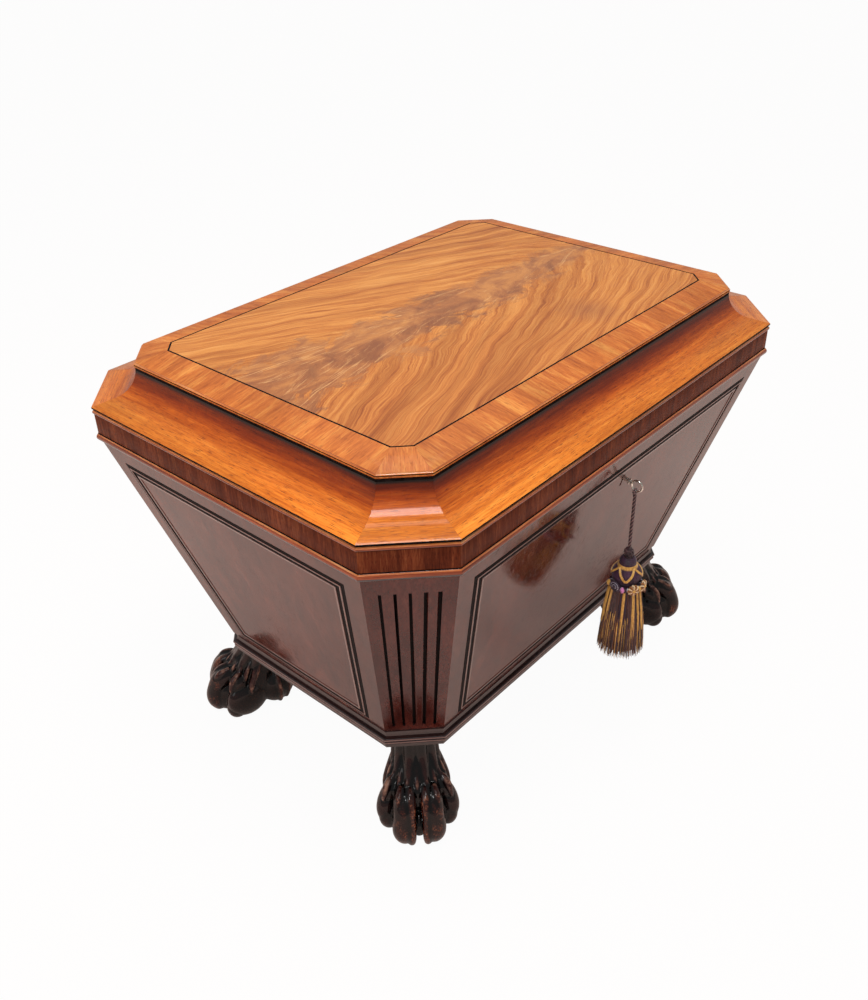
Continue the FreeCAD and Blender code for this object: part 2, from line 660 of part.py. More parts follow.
def build_lock():
    """Box lock, bolt, drill pin, selvedge and the lid's link plate."""
    cavity_foot = f"-1 * {size('lock_drop')} + {size('lock_wall')}"
    inner_width = f"{size('lock_width')} - 2 * {size('lock_wall')}"
    case = on_front("lock_case")
    slanted_block(case, "case", size("lock_face"), LOCK_BACK, f"-1 * {size('lock_drop')}",
                  SELVEDGE_FOOT, size("lock_width"))
    hollow = new_sketch(case, "case_hollow", plane="YZ_Plane")
    front = f"{size('lock_face')} - 1"
    outline(hollow, [(front, cavity_foot), (BACK_PLATE, cavity_foot),
                     (BACK_PLATE, level(LID_FOOT, BACK_PLATE)), (front, level(LID_FOOT, front))])
    pocket(case, hollow, "case_hollow_cut", length=inner_width, midplane=True)
    keep(case, "lock_case")

    cap = on_front("lock_cap")
    slanted_block(cap, "cap", size("lock_face"), CAP_BACK, cavity_foot, SELVEDGE_FOOT,
                  inner_width)
    key_shape = on_front("cap_keyhole")
    keyhole(key_shape, "cap_keyhole", total(CAP_BACK, "1"))
    cut(cap, [key_shape], "lock_cap_plate")

    pin = on_front("lock_drill_pin")
    round_pin = new_sketch(pin, "drill_pin_end", plane="XZ_Plane", lift=f"-1 * {BACK_PLATE}")
    circle(round_pin, "0", "0", f"{size('drill_pin')} / 2")
    pad(pin, round_pin, f"{BACK_PLATE} - {size('lock_face')}", "drill_pin_pad")
    keep(pin, "lock_drill_pin")

    bolt = on_front("lock_bolt")
    shape = new_sketch(bolt, "bolt_shape", plane="XZ_Plane", lift=f"-1 * {BOLT_BACK}")
    outline(shape, bolt_outline())
    pad(bolt, shape, size("bolt_thickness"), "bolt_pad")
    keep(bolt, "lock_bolt")

    selvedge = new_body("lock_selvedge")
    half = f"({size('lock_width')} / 2 + {size('selvedge_ends')})"
    deep = f"{size('selvedge_width')} / 2"
    plate = new_sketch(selvedge, "selvedge_plate", lift=SELVEDGE_FOOT)
    rectangle(plate, f"-1 * {half}", f"{STAPLE_Y} - {deep}", half, f"{STAPLE_Y} + {deep}")
    pad(selvedge, plate, size("selvedge_thickness"), "selvedge_pad")
    slots = new_sketch(selvedge, "selvedge_slots", lift=RIM_TOP)
    for hand in (-1, 1):
        middle = f"{hand} * {size('staple_spread')} / 2"
        wide = f"({size('staple_width')} + {size('slot_ease')}) / 2"
        long = f"({size('staple_depth')} + {size('slot_ease')}) / 2"
        rectangle(slots, f"{middle} - {wide}", f"{STAPLE_Y} - {long}",
                  f"{middle} + {wide}", f"{STAPLE_Y} + {long}")
    pocket(selvedge, slots, "selvedge_slots_cut")
    screw_x = f"({size('lock_width')} + {size('selvedge_ends')}) / 2"
    screws = group([wood_screw(f"selvedge_screw_{hand + 1}", f"{hand} * {screw_x}", STAPLE_Y,
                               RIM_TOP, -1) for hand in (-1, 1)], "selvedge_screws")
    keep(screws, "lock_screws")
    cut(selvedge, [screws], "lock_selvedge_plate")

    housing = on_front("lock_housing")
    slanted_block(housing, "housing", size("lock_face"), total(LOCK_BACK, "board_thickness"),
                  f"-1 * {size('lock_drop')}", SELVEDGE_FOOT, size("lock_width"))
    front_hole = on_front("front_keyhole")
    keyhole(front_hole, "front_keyhole", total("lock_face", "1"))
    let_in = doc.addObject("Part::Box", "selvedge_housing")
    bind(let_in, "Length", f"2 * {half}")
    bind(let_in, "Width", size("selvedge_width"))
    bind(let_in, "Height", size("selvedge_thickness"))
    bind(let_in, "Placement.Base.x", f"-1 * {half}")
    bind(let_in, "Placement.Base.y", f"{STAPLE_Y} - {deep}")
    bind(let_in, "Placement.Base.z", SELVEDGE_FOOT)
    return {"front_board": [housing, front_hole], "rim": [housing, let_in, screws]}


def build_link_plate():
    """The lid's half of the lock: a plate with two staples; returns what the frieze is cut by."""
    half = f"({size('staple_spread')} / 2 + {size('link_plate_ends')})"
    deep = f"{size('link_plate_depth')} / 2"
    plate = new_body("link_plate_blank")
    flat = new_sketch(plate, "link_flat", lift=LID_FOOT)
    rectangle(flat, f"-1 * {half}", f"{STAPLE_Y} - {deep}", half, f"{STAPLE_Y} + {deep}")
    pad(plate, flat, size("link_plate_thickness"), "link_flat_pad")
    eye = f"{size('staple_eye')} / 2"
    staple_foot = f"{STAPLE_Z} - {eye} - {size('staple_wall')}"
    for hand in (-1, 1):
        start = f"{hand} * {size('staple_spread')} / 2 - {size('staple_width')} / 2"
        staple = new_sketch(plate, f"staple_{hand + 1}", plane="YZ_Plane", lift=start)
        side = f"{size('staple_depth')} / 2"
        rectangle(staple, f"{STAPLE_Y} - {side}", staple_foot, f"{STAPLE_Y} + {side}",
                  f"{LID_FOOT} + {size('link_plate_thickness')} / 2")
        rectangle(staple, f"{STAPLE_Y} - {eye}", f"{STAPLE_Z} - {eye}", f"{STAPLE_Y} + {eye}",
                  f"{STAPLE_Z} + {eye}")
        pad(plate, staple, size("staple_width"), f"staple_{hand + 1}_pad")
    screw_x = f"({half} - {size('screw_head')} * 0.75)"
    screws = group([wood_screw(f"link_screw_{hand + 1}", f"{hand} * {screw_x}", STAPLE_Y,
                               LID_FOOT, 1) for hand in (-1, 1)], "link_screws")
    keep(screws, "link_plate_screws")
    cut(plate, [screws], "link_plate")
    housing = doc.addObject("Part::Box", "link_housing")
    bind(housing, "Length", f"2 * {half}")
    bind(housing, "Width", size("link_plate_depth"))
    bind(housing, "Height", size("link_plate_thickness"))
    bind(housing, "Placement.Base.x", f"-1 * {half}")
    bind(housing, "Placement.Base.y", f"{STAPLE_Y} - {deep}")
    bind(housing, "Placement.Base.z", LID_FOOT)
    return [housing, screws]


def build_key():
    """A pipe key: barrel, collar, ring bow and one bit, which hangs down at rest."""
    key = on_front("key_blank")
    barrel = new_sketch(key, "barrel_end", plane="XZ_Plane", lift=f"-1 * {BOLT_BACK}")
    circle(barrel, "0", "0", f"{size('key_barrel')} / 2")
    shank = f"{size('key_bow_reach')} - {size('bow_radius')}"
    pad(key, barrel, f"{BOLT_BACK} + {shank}", "barrel_pad")
    collar = new_sketch(key, "collar_end", plane="XZ_Plane",
                        lift=f"{shank} - {size('collar_setback')}")
    circle(collar, "0", "0", f"{size('key_collar')} / 2")
    pad(key, collar, size("collar_length"), "collar_pad")
    bit = new_sketch(key, "bit_side", plane="YZ_Plane")
    rectangle(bit, f"{BOLT_BACK} - {size('bit_width')}", f"-1 * {size('bit_length')}",
              BOLT_BACK, f"-1 * {size('bit_root')}")
    pad(key, bit, size("bit_thickness"), "bit_pad", midplane=True)
    bow = additive(key, "Torus", "bow", ("0", f"-1 * {size('key_bow_reach')}", "0"),
                   Radius1=size("bow_radius"), Radius2=f"{size('bow_wire')} / 2")
    bow.Placement.Rotation = FreeCAD.Rotation(Vector(0, 1, 0), 90)
    bore = new_sketch(key, "pipe_bore", plane="XZ_Plane", lift=f"-1 * {BOLT_BACK}")
    circle(bore, "0", "0", f"{size('drill_pin')} / 2 + {size('pin_gap')}")
    pocket(key, bore, "pipe_bore_cut", reverse=True,
           length=f"{BOLT_BACK} - {size('lock_face')} + {size('bore_ease')}")
    keep(key, "key")


# ---------------------------------------------------------------- tassel
ROSETTE_ANGLES = (-125, -83)    # where the rosettes sit round the collar, from +X


def build_tassel():
    """The key's loop and tassel, hanging plumb under the ring bow's lowest point."""
    loop = on_front("tassel_loop")
    hang = (f"({size('loop_radius')} - {size('loop_wire')} / 2 - {size('bow_wire')} / 2"
            f" - {size('loop_gap')})")
    ring = additive(loop, "Torus", "loop_ring",
                    ("0", f"-1 * {size('key_bow_reach')}", f"-1 * {size('bow_radius')} - {hang}"),
                    Radius1=size("loop_radius"), Radius2=f"{size('loop_wire')} / 2")
    ring.Placement.Rotation = FreeCAD.Rotation(Vector(1, 0, 0), 90)
    keep(loop, "tassel_loop")
    y = f"({KEYHOLE_Y} - {size('key_bow_reach')} * {COS} + {size('bow_radius')} * {SIN})"
    pivot = (f"({KEYHOLE_HEIGHT} - {size('key_bow_reach')} * {SIN}"
             f" - {size('bow_radius')} * {COS})")
    cord_top = (f"({pivot} - {hang} - {size('loop_radius')} - {size('loop_wire')} / 2"
                f" - {size('loop_gap')})")
    cord_foot = f"({cord_top} - {size('cord_drop')})"
    disc_foot = f"({cord_foot} - {size('cap_height')})"
    head_foot = f"({disc_foot} - {size('head_height')})"
    cord(number(y), number(cord_top), number(cord_foot))

    turned("tassel_cap", y, [
        ("0", cord_foot), (size("cap_mouth"), cord_foot),
        (size("cap_radius"), f"{cord_foot} - {size('cap_shoulder')}"),
        (size("cap_radius"), f"{disc_foot} + {size('waist_flare')}"),
        (size("cap_waist"), f"{disc_foot} + {size('waist_height')}"),
        (size("disc_radius"), f"{disc_foot} + {size('disc_height')}"),
        (size("disc_radius"), disc_foot), ("0", disc_foot)])
    neck = size("neck_radius_tied")
    turned("tassel_head", y, [
        ("0", disc_foot), (size("head_mouth"), disc_foot),
        (size("head_radius"), f"{disc_foot} - {size('head_shoulder')}"),
        (size("head_radius"), f"{disc_foot} - {size('head_waist')}"),
        (neck, f"{head_foot} + {size('neck_height_tied')}"), (neck, head_foot),
        ("0", head_foot)])
    collar = doc.addObject("Part::Torus", "tassel_collar")
    wire = f"{size('collar_wire')} / 2"
    bind(collar, "Radius1", f"{neck} + {wire} + {size('collar_ease')}")
    bind(collar, "Radius2", wire)
    bind(collar, "Placement.Base.y", y)
    bind(collar, "Placement.Base.z", f"{head_foot} + {wire} + {size('collar_lift')}")
    keep(collar, "tassel_collar")
    rosettes = []
    for index, angle in enumerate(ROSETTE_ANGLES):
        rosette = doc.addObject("Part::Cylinder", f"rosette_{index}")
        bind(rosette, "Radius", size("rosette_radius"))
        bind(rosette, "Height", size("rosette_height"))
        outward = Vector(math.cos(math.radians(angle)), math.sin(math.radians(angle)), 0)
        rosette.Placement.Rotation = FreeCAD.Rotation(Vector(0, 0, 1), outward)
        reach = f"({neck} + {size('collar_wire')} + {size('rosette_ease')})"
        bind(rosette, "Placement.Base.x", f"{outward.x:.6f} * {reach}")
        bind(rosette, "Placement.Base.y", f"{y} + {outward.y:.6f} * {reach}")
        bind(rosette, "Placement.Base.z", f"{head_foot} + {wire} + {size('rosette_lift')}")
        rosettes.append(rosette)
    keep(group(rosettes, "tassel_rosettes"), "tassel_rosettes")
    turned("tassel_skirt", y, [
        ("0", head_foot), (neck, head_foot),
        (size("skirt_top"), f"{head_foot} - {size('skirt_shoulder')}"),
        (size("skirt_foot"), f"{head_foot} - {size('skirt_length')}"),
        ("0", f"{head_foot} - {size('skirt_length')}")])


def turned(label, y, profile):
    """A piece turned about the tassel's plumb line; profile is (radius, height) steps."""
    body = new_body(label)
    bind(body, "Placement.Base.y", y)
    sketch = new_sketch(body, f"{label}_profile", plane="XZ_Plane")
    outline(sketch, profile)
    turn = body.newObject("PartDesign::Revolution", f"{label}_turn")
    turn.Profile = sketch
    turn.ReferenceAxis = (sketch, ["V_Axis"])
    turn.Angle = 360
    keep(body, label)


CORD_BOW = (0.0, 0.6, -0.5, 0.0)       # sideways places of the cord's route, top to foot


def cord(y, top, foot):
    """The tassel's cord: three near-straight runs joined by wide arcs."""
    steps = len(CORD_BOW) - 1
    route = [Vector(bow, y, top + (foot - top) * index / steps)
             for index, bow in enumerate(CORD_BOW)]
    edges = []
    start = route[0]
    for before, corner, after in zip(route, route[1:], route[2:]):
        arriving = (corner - before).normalize()
        leaving = (after - corner).normalize()
        turn = arriving.getAngle(leaving)
        reach = 0.45 * min(corner.distanceToPoint(before), corner.distanceToPoint(after))
        radius = reach / math.tan(turn / 2)
        print(f"tassel cord arc radius {radius:.0f} mm")
        first = corner - arriving * reach
        last = corner + leaving * reach
        bisector = (leaving - arriving).normalize()
        middle = corner + bisector * (radius / math.cos(turn / 2) - radius)
        edges.append(Part.LineSegment(start, first).toShape())
        edges.append(Part.Arc(first, middle, last).toShape())
        start = last
    edges.append(Part.LineSegment(start, route[-1]).toShape())
    path = Part.Wire(edges)
    section = Part.Wire(Part.Circle(route[0], route[1] - route[0],
                                    number(size("cord_diameter")) / 2).toShape())
    tube = path.makePipeShell([section], True, False)
    area = math.pi * (number(size("cord_diameter")) / 2) ** 2
    if abs(tube.Volume / (area * path.Length) - 1) > 0.01:
        raise RuntimeError("the cord's tube is not whole")
    piece = doc.addObject("Part::Feature", "tassel_cord")
    piece.Shape = tube
    keep(piece, "tassel_cord")


# ---------------------------------------------------------------- feet
TOES = 4


def foot_frame(side):
    """A foot's frame: on the floor under its neck, X outwards across the canted corner."""
    middle = (CARCASE_BASE.point(side) + CARCASE_BASE.point(side + 1)) * 0.5
    along = (CARCASE_BASE.point(side + 1) - CARCASE_BASE.point(side)).normalize()
    outward = along.cross(Vector(0, 0, 1))
    origin = middle - outward * number(size("neck_setback"))
    return FreeCAD.Placement(origin, FreeCAD.Rotation(outward, along, Vector(0, 0, 1), "ZXY"))


def paw_foot(name, side):
    """A carved paw: neck, ball, four toes and a heel, flat where it meets the floor."""
    foot = new_body(name)
    foot.Placement = foot_frame(side)
    neck = new_sketch(foot, f"{name}_neck", plane="XZ_Plane")
    outline(neck, [("0", size("foot_height")), ("0", size("ankle_height")),
                   (size("ankle_radius"), size("ankle_height")),
                   (size("neck_radius"), f"{size('foot_height')} - {size('neck_drop')}"),
                   (size("neck_radius"), size("foot_height"))])
    turn = foot.newObject("PartDesign::Revolution", f"{name}_neck_turn")
    turn.Profile = neck
    turn.ReferenceAxis = (neck, ["V_Axis"])
    turn.Angle = 360
    additive(foot, "Ellipsoid", f"{name}_ball", (size("paw_reach"), "0", size("paw_centre")),
             Radius1=size("paw_radius"), Radius2=size("paw_radius"), Radius3=size("paw_radius"))
    for index in range(TOES):
        angle = f"({index} - {(TOES - 1) / 2}) * {size('toe_spread')}"
        x = f"{size('paw_reach')} + {size('toe_reach')} * cos({angle})"
        toe = additive(foot, "Ellipsoid", f"{name}_toe_{index}",
                       (x, f"{size('toe_reach')} * sin({angle})", size("toe_centre")),
                       Radius1=size("toe_half_height"), Radius2=size("toe_length"),
                       Radius3=size("toe_half_width"))
        toe.Placement.Rotation = FreeCAD.Rotation(Vector(0, 0, 1), number(angle))
    additive(foot, "Ellipsoid", f"{name}_heel",
             (f"-1 * {size('heel_reach')}", "0", size("heel_centre")),
             Radius1=size("heel_half_height"), Radius2=size("heel_length"),
             Radius3=size("heel_half_width"))
    sole = new_sketch(foot, f"{name}_sole")
    wide = f"3 * {size('paw_radius')}"
    rectangle(sole, f"-1 * {wide}", f"-1 * {wide}", wide, wide)
    pocket(foot, sole, f"{name}_sole_cut")
    socket = new_sketch(foot, f"{name}_socket", lift=size("foot_height"))
    circle(socket, "0", "0", f"{size('foot_dowel')} / 2")
    pocket(foot, socket, f"{name}_socket_cut", length=size("dowel_depth"))
    keep(foot, name)


def build_feet():
    """Four paws and the dowels that hold them; returns the dowels."""
    dowels = []
    for side in (1, 3, 5, 7):
        paw_foot(f"paw_foot_{SIDES[side]}", side)
        dowel = doc.addObject("Part::Cylinder", f"dowel_{SIDES[side]}")
        bind(dowel, "Radius", f"{size('foot_dowel')} / 2")
        bind(dowel, "Height", f"2 * {size('dowel_depth')}")
        origin = foot_frame(side).Base
        origin.z = number(f"{size('foot_height')} - {size('dowel_depth')}")
        dowel.Placement.Base = origin
        dowels.append(dowel)
    return keep(group(dowels, "dowels"), "foot_dowels")


# ---------------------------------------------------------------- carcase
def reed_cutter(side):
    """The quirks between the reeds of a canted corner, as one cutter."""
    cutter = new_body(f"reed_cutter_{SIDES[side]}")
    cutter.Placement = face_frame(side)
    diagonal = (f"(sqrt(2) * ({size('carcase_lean')}"
                f" - ({CARCASE_HEAD.cant} - {CARCASE_BASE.cant}) / 2))")
    slope = f"sqrt({size('carcase_rise')}^2 + {diagonal}^2)"
    foot = size("reed_end_foot")
    head = f"({slope} - {size('reed_end_top')})"
    half = f"({CARCASE_BASE.cant} / sqrt(2))"
    grow = f"(({CARCASE_HEAD.cant} - {CARCASE_BASE.cant}) / sqrt(2) / {slope})"
    low = f"({half} + {grow} * {foot} - {size('reed_margin_foot')})"
    high = f"({half} + {grow} * {head} - {size('reed_margin_top')})"
    quirks = new_sketch(cutter, f"quirks_{SIDES[side]}", plane="XZ_Plane")
    edge = f"{size('reed_quirk')} / 2"
    for index in range(int(number(size("reed_count"))) + 1):
        share = f"(2 * {index} / {size('reed_count')} - 1)"
        outline(quirks, [(f"{low} * {share} - {edge}", foot), (f"{low} * {share} + {edge}", foot),
                         (f"{high} * {share} + {edge}", head),
                         (f"{high} * {share} - {edge}", head)])
    pad(cutter, quirks, f"2 * {size('reed_depth')}", f"quirks_{SIDES[side]}_pad", midplane=True)
    return cutter


def panel_moulding(side):
    """Four mitred lengths framing the field of one face."""
    name = f"panel_moulding_{SIDES[side]}"
    body = new_body(name)
    body.Placement = face_frame(side)
    along = "half_x" if side in (0, 4) else "half_y"
    foot_half = f"({getattr(CARCASE_BASE, along)} - {CARCASE_BASE.cant})"
    head_half = f"({getattr(CARCASE_HEAD, along)} - {CARCASE_HEAD.cant})"
    rake = f"(({head_half} - {foot_half}) / {SLOPE})"
    stretch = f"sqrt(1 + {rake}^2)"

    def corners(inset):
        low = f"({size('frame_foot_margin')} + {inset})"
        high = f"({SLOPE} - {size('frame_margin')} - {inset})"
        side_inset = f"({size('frame_margin')} + {inset}) * {stretch}"
        wide = [f"({foot_half} + {rake} * {z} - {side_inset})" for z in (low, high)]
        return [(f"-1 * {wide[0]}", low), (wide[0], low), (wide[1], high),
                (f"-1 * {wide[1]}", high)]

    outer = corners("0")
    inner = corners(size("frame_width"))
    ring = new_sketch(body, f"{name}_ring", plane="XZ_Plane")
    outline(ring, outer)
    outline(ring, inner)
    pad(body, ring, size("frame_relief"), f"{name}_pad")
    saw = new_sketch(body, f"{name}_mitres", plane="XZ_Plane")
    blade = f"{size('kerf')} / 2"
    for start, end in zip(outer, inner):
        step_x = f"({end[0]} - {start[0]})"
        step_z = f"({end[1]} - {start[1]})"
        quad = []
        for reach, shift in (("-0.3", "-"), ("-0.3", ""), ("1.3", ""), ("1.3", "-")):
            quad.append((f"{start[0]} + {reach} * {step_x} + {shift}1 * {blade}",
                         f"{start[1]} + {reach} * {step_z}"))
        outline(saw, quad)
    pocket(body, saw, f"{name}_mitre_cuts", midplane=True)
    keep(body, name)


def build_carcase(dowels, hinge_tools, lock_tools):
    """Base, plinth, the eight leaning boards, the rim and the panel mouldings."""
    board = octagon_board("base", CARCASE_BASE.inset(size("plinth_depth")), PLINTH_FOOT,
                          CARCASE_FOOT)
    cut(board, [dowels], "base_board")
    lower = total(PLINTH_FOOT, "plinth_fillet")
    upper = total(lower, "plinth_lower_bead", "plinth_quirk")
    cove = total(upper, "plinth_upper_bead")
    plinth = moulding("plinth", CARCASE_BASE, [
        (size("plinth_depth"), CARCASE_FOOT), (size("plinth_depth"), PLINTH_FOOT),
        (size("plinth_foot_inset"), PLINTH_FOOT), (size("plinth_foot_inset"), lower),
        *bead(size("plinth_lower_inset"), lower, size("plinth_lower_bead")),
        *bead("0", upper, size("plinth_upper_bead")),
        (size("plinth_cove_inset"), cove),
        (size("plinth_cove_inset"), total(cove, "plinth_step")),
        ("0", CARCASE_FOOT, size("plinth_cove_radius"), 1)],
        size("plinth_depth"))
    keep(plinth, "plinth_moulding")
    for side, name in enumerate(SIDES):
        body = stave(name, side, CARCASE_TOP, "0", size("board_thickness"))
        if side % 2:
            cut(body, [reed_cutter(side)], f"corner_post_{name}")
        elif side == 0:
            cut(body, lock_tools["front_board"], f"{name}_board")
        else:
            keep(body, f"{name}_board")
        if side % 2 == 0:
            panel_moulding(side)
    rim = moulding("rim", LIP, [
        (size("rim_width"), RIM_TOP), (size("rim_width"), CARCASE_TOP),
        *bead(size("carcase_inset"), CARCASE_TOP, size("rim_height"))],
        size("rim_width"))
    cut(rim, [*hinge_tools["carcase"], *lock_tools["rim"]], "rim_moulding")


def build_inside():
    """The sheet-metal liner, a floor and eight walls, and its bottle divisions."""
    top = total(RIM_TOP, f"-{size('liner_drop')}")
    outer = total("board_thickness", "liner_gap")
    inner = total(outer, "liner_sheet")
    floor = total(CARCASE_FOOT, "liner_sheet")
    keep(octagon_board("liner_bottom", carcase_outline(CARCASE_FOOT).inset(inner), CARCASE_FOOT,
                       floor), "liner_floor")
    walls = [stave(f"liner_wall_{side}", side, top, outer, size("liner_sheet"))
             for side in range(8)]
    keep(group(walls, "liner_sides"), "liner_walls")

    head = total(floor, "divider_height")
    middle = f"({floor} + {size('divider_height')} / 2)"
    wall = total(inner, "divider_gap")
    wide = total("divider_thickness", f"2 * {size('halving_gap')}")
    crossings = [f"{place} * {size('divider_pitch')}" for place in (-1, 0, 1)]

    def division(label, plane, along, slots, slot_foot, slot_head, across="0"):
        body = new_body(f"{label}_blank")
        if across != "0":
            bind(body, "Placement.Base.x", across)
        sketch = new_sketch(body, f"{label}_shape", plane=plane)
        low = f"({getattr(carcase_outline(floor).inset(wall), along)})"
        high = f"({getattr(carcase_outline(head).inset(wall), along)})"
        outline(sketch, [(f"-1 * {low}", floor), (low, floor), (high, head),
                         (f"-1 * {high}", head)])
        pad(body, sketch, size("divider_thickness"), f"{label}_pad", midplane=True)
        halving = new_sketch(body, f"{label}_halving", plane=plane)
        for slot in slots:
            rectangle(halving, f"{slot} - {wide} / 2", slot_foot, f"{slot} + {wide} / 2",
                      slot_head)
        pocket(body, halving, f"{label}_halving_cut", midplane=True)
        keep(body, label)

    division("divider_long", "XZ_Plane", "half_x", crossings,
             f"{middle} - {size('halving_gap')}", f"{head} + 1")
    for index, place in enumerate(crossings):
        division(f"divider_cross_{index + 1}", "YZ_Plane", "half_y", ["0"],
                 f"{floor} - 1", f"{middle} + {size('halving_gap')}", across=place)


# ---------------------------------------------------------------- build and export
hinge_tools = build_hinges()
frieze = build_lid()
link_tools = build_link_plate()
cut(frieze, [*hinge_tools["lid"], *link_tools], "frieze_moulding")
lock_tools = build_lock()
build_key()
build_tassel()
dowels = build_feet()
build_carcase(dowels, hinge_tools, lock_tools)
build_inside()
doc.recompute()

for thing in doc.Objects:
    if {"Invalid", "Error"} & set(thing.State):
        raise RuntimeError(f"{thing.Label} failed to recompute: {thing.State}")
for thing in sub_parts:
    if thing.Shape.isNull() or not thing.Shape.isValid() or not thing.Shape.Solids:
        raise RuntimeError(f"{thing.Label} has no valid shape")

os.makedirs("parts", exist_ok=True)
for thing in sub_parts:
    thing.Shape.exportStep(f"parts/{thing.Label}.step")
print(f"{len(sub_parts)} sub-parts written")
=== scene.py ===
import random
from functools import partial
from math import asin, atan2, cos, hypot, pi, radians, sin, sqrt

import bpy
from mathutils import Matrix, Vector


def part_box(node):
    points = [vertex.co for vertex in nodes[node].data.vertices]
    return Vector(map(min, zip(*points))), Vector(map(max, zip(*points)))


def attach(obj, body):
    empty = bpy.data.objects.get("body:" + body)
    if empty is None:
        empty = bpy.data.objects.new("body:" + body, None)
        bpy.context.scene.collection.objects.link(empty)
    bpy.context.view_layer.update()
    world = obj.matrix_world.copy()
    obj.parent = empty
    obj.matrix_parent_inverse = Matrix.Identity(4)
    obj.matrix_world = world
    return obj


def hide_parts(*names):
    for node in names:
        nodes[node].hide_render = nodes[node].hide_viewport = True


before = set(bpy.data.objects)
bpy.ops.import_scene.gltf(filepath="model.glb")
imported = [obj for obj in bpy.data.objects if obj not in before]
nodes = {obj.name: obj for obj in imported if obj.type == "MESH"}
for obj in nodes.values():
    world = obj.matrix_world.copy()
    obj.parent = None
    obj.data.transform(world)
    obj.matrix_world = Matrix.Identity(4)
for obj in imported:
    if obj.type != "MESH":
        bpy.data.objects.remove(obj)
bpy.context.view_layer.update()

scene = bpy.context.scene
scene.view_settings.view_transform = "Standard"


# ---- camera, seen from the front left corner and above

AZIMUTH, ELEVATION, ROLL = (radians(a) for a in (-48.0515, 33.0977, -1.4784))
bpy.ops.object.camera_add()
camera = bpy.context.object
camera.name = "camera"
camera.data.lens = 36.5
camera.matrix_world = (
    Matrix.Translation((-0.88747, -0.76584, 1.0416))
    @ Matrix.Rotation(AZIMUTH, 4, "Z")
    @ Matrix.Rotation(pi / 2 - ELEVATION, 4, "X")
    @ Matrix.Rotation(ROLL, 4, "Z")
)
scene.camera = camera


# ---- sizes of the chest and levels above the floor, in metres

PLINTH_FOOT, CARCASE_FOOT, CARCASE_HEAD = 0.122, 0.153, 0.464
LID_FOOT, BEAD_FOOT, LIP_FOOT, SLAB_FOOT, TOP = 0.474, 0.4986, 0.5036, 0.5445, 0.5565
FOOT_X, FOOT_Y = 0.2898, 0.1903  # half the plan, at the carcase's foot
FLARE = 0.0867  # how far its faces lean out to its head
FOOT_CANT, HEAD_CANT = 0.0503, 0.06645  # what its corners lose of each side
UP = Vector((0, 0, 1))


# ---- the cord that the tassel hangs on

PLUMB = -0.28112  # how far forward the tassel hangs
CORD = [(0, PLUMB, 0.39999), (0.0006, PLUMB, 0.37526), (-0.0005, PLUMB, 0.35052), (0, PLUMB, 0.32579)]


def strung(name, runs, smooth):
    """A curve through runs of (place, radius), smooth where there are steps between their points."""
    curve = bpy.data.curves.new(name, "CURVE")
    curve.dimensions = "3D"
    curve.resolution_u = smooth
    for run in runs:
        spline = curve.splines.new("NURBS" if smooth > 1 else "POLY")
        spline.points.add(len(run) - 1)
        for point, (place, radius) in zip(spline.points, run):
            point.co = (*place, 1)
            point.radius = radius
        if smooth > 1:
            spline.order_u = 3
            spline.use_endpoint_u = True
    piece = bpy.data.objects.new(name, curve)
    scene.collection.objects.link(piece)
    return piece


guide = strung("cord_line", [[(place, 1) for place in CORD]], 24)
cord_points = [v.co.copy() for v in bpy.data.meshes.new_from_object(guide).vertices]
bpy.data.objects.remove(guide)


# ---- bench tools

def only(piece):
    """Puts everything else down and takes up one piece."""
    if bpy.context.object and bpy.context.object.mode != "OBJECT":
        bpy.ops.object.mode_set(mode="OBJECT")
    bpy.ops.object.select_all(action="DESELECT")
    piece.select_set(True)
    bpy.context.view_layer.objects.active = piece


def choose(piece, kind, test):
    """Goes into edit mode with just the corners, edges or faces that pass the test selected."""
    only(piece)
    mesh = piece.data
    parts = {"VERT": mesh.vertices, "EDGE": mesh.edges, "FACE": mesh.polygons}
    for group in parts.values():
        group.foreach_set("select", [False] * len(group))
    for item in parts[kind]:
        item.select = bool(test(item))
    bpy.context.tool_settings.mesh_select_mode = tuple(kind == k for k in parts)
    bpy.ops.object.mode_set(mode="EDIT")


def everything(piece):
    only(piece)
    bpy.ops.object.mode_set(mode="EDIT")
    bpy.ops.mesh.select_all(action="SELECT")


def put_down():
    bpy.ops.object.mode_set(mode="OBJECT")


def joined(pieces, name):
    only(pieces[0])
    for piece in pieces[1:]:
        piece.select_set(True)
    if len(pieces) > 1:
        bpy.ops.object.join()
    pieces[0].name = pieces[0].data.name = name
    return pieces[0]


def fixed(piece, frame_matrix):
    """Sets a piece at its place, with the place in its mesh."""
    only(piece)
    piece.matrix_world = frame_matrix
    bpy.context.view_layer.update()
    bpy.ops.object.transform_apply()


def copied(piece, name):
    twin = piece.copy()
    twin.data = piece.data.copy()
    twin.name = twin.data.name = name
    scene.collection.objects.link(twin)
    return twin


def modified(piece, kind, **settings):
    only(piece)
    modifier = piece.modifiers.new(kind.lower(), kind)
    for key, value in settings.items():
        setattr(modifier, key, value)
    bpy.ops.object.modifier_apply(modifier=modifier.name)


def coated(piece, wanted):
    """Puts each wanted finish on a piece's list once, and returns their order."""
    coats = list(dict.fromkeys(wanted))
    piece.data.materials.clear()
    for coat in coats:
        piece.data.materials.append(finishes[coat])
    return coats


def finished(piece, body, node, soft=32):
    """Gives a piece its smooth edges and its body, and hides the CAD node that it stands for."""
    only(piece)
    bpy.ops.object.transform_apply()
    bpy.ops.object.shade_smooth_by_angle(angle=radians(soft))
    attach(piece, body)
    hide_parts(node)
    return piece


def threads(name, runs, sides, smooth):
    """Round threads along runs of (place, radius)."""
    piece = strung(name, runs, smooth)
    piece.data.bevel_depth = 1
    piece.data.bevel_resolution = sides
    piece.data.use_fill_caps = True
    only(piece)
    bpy.ops.object.convert(target="MESH")
    return bpy.context.object


# ---- finishes

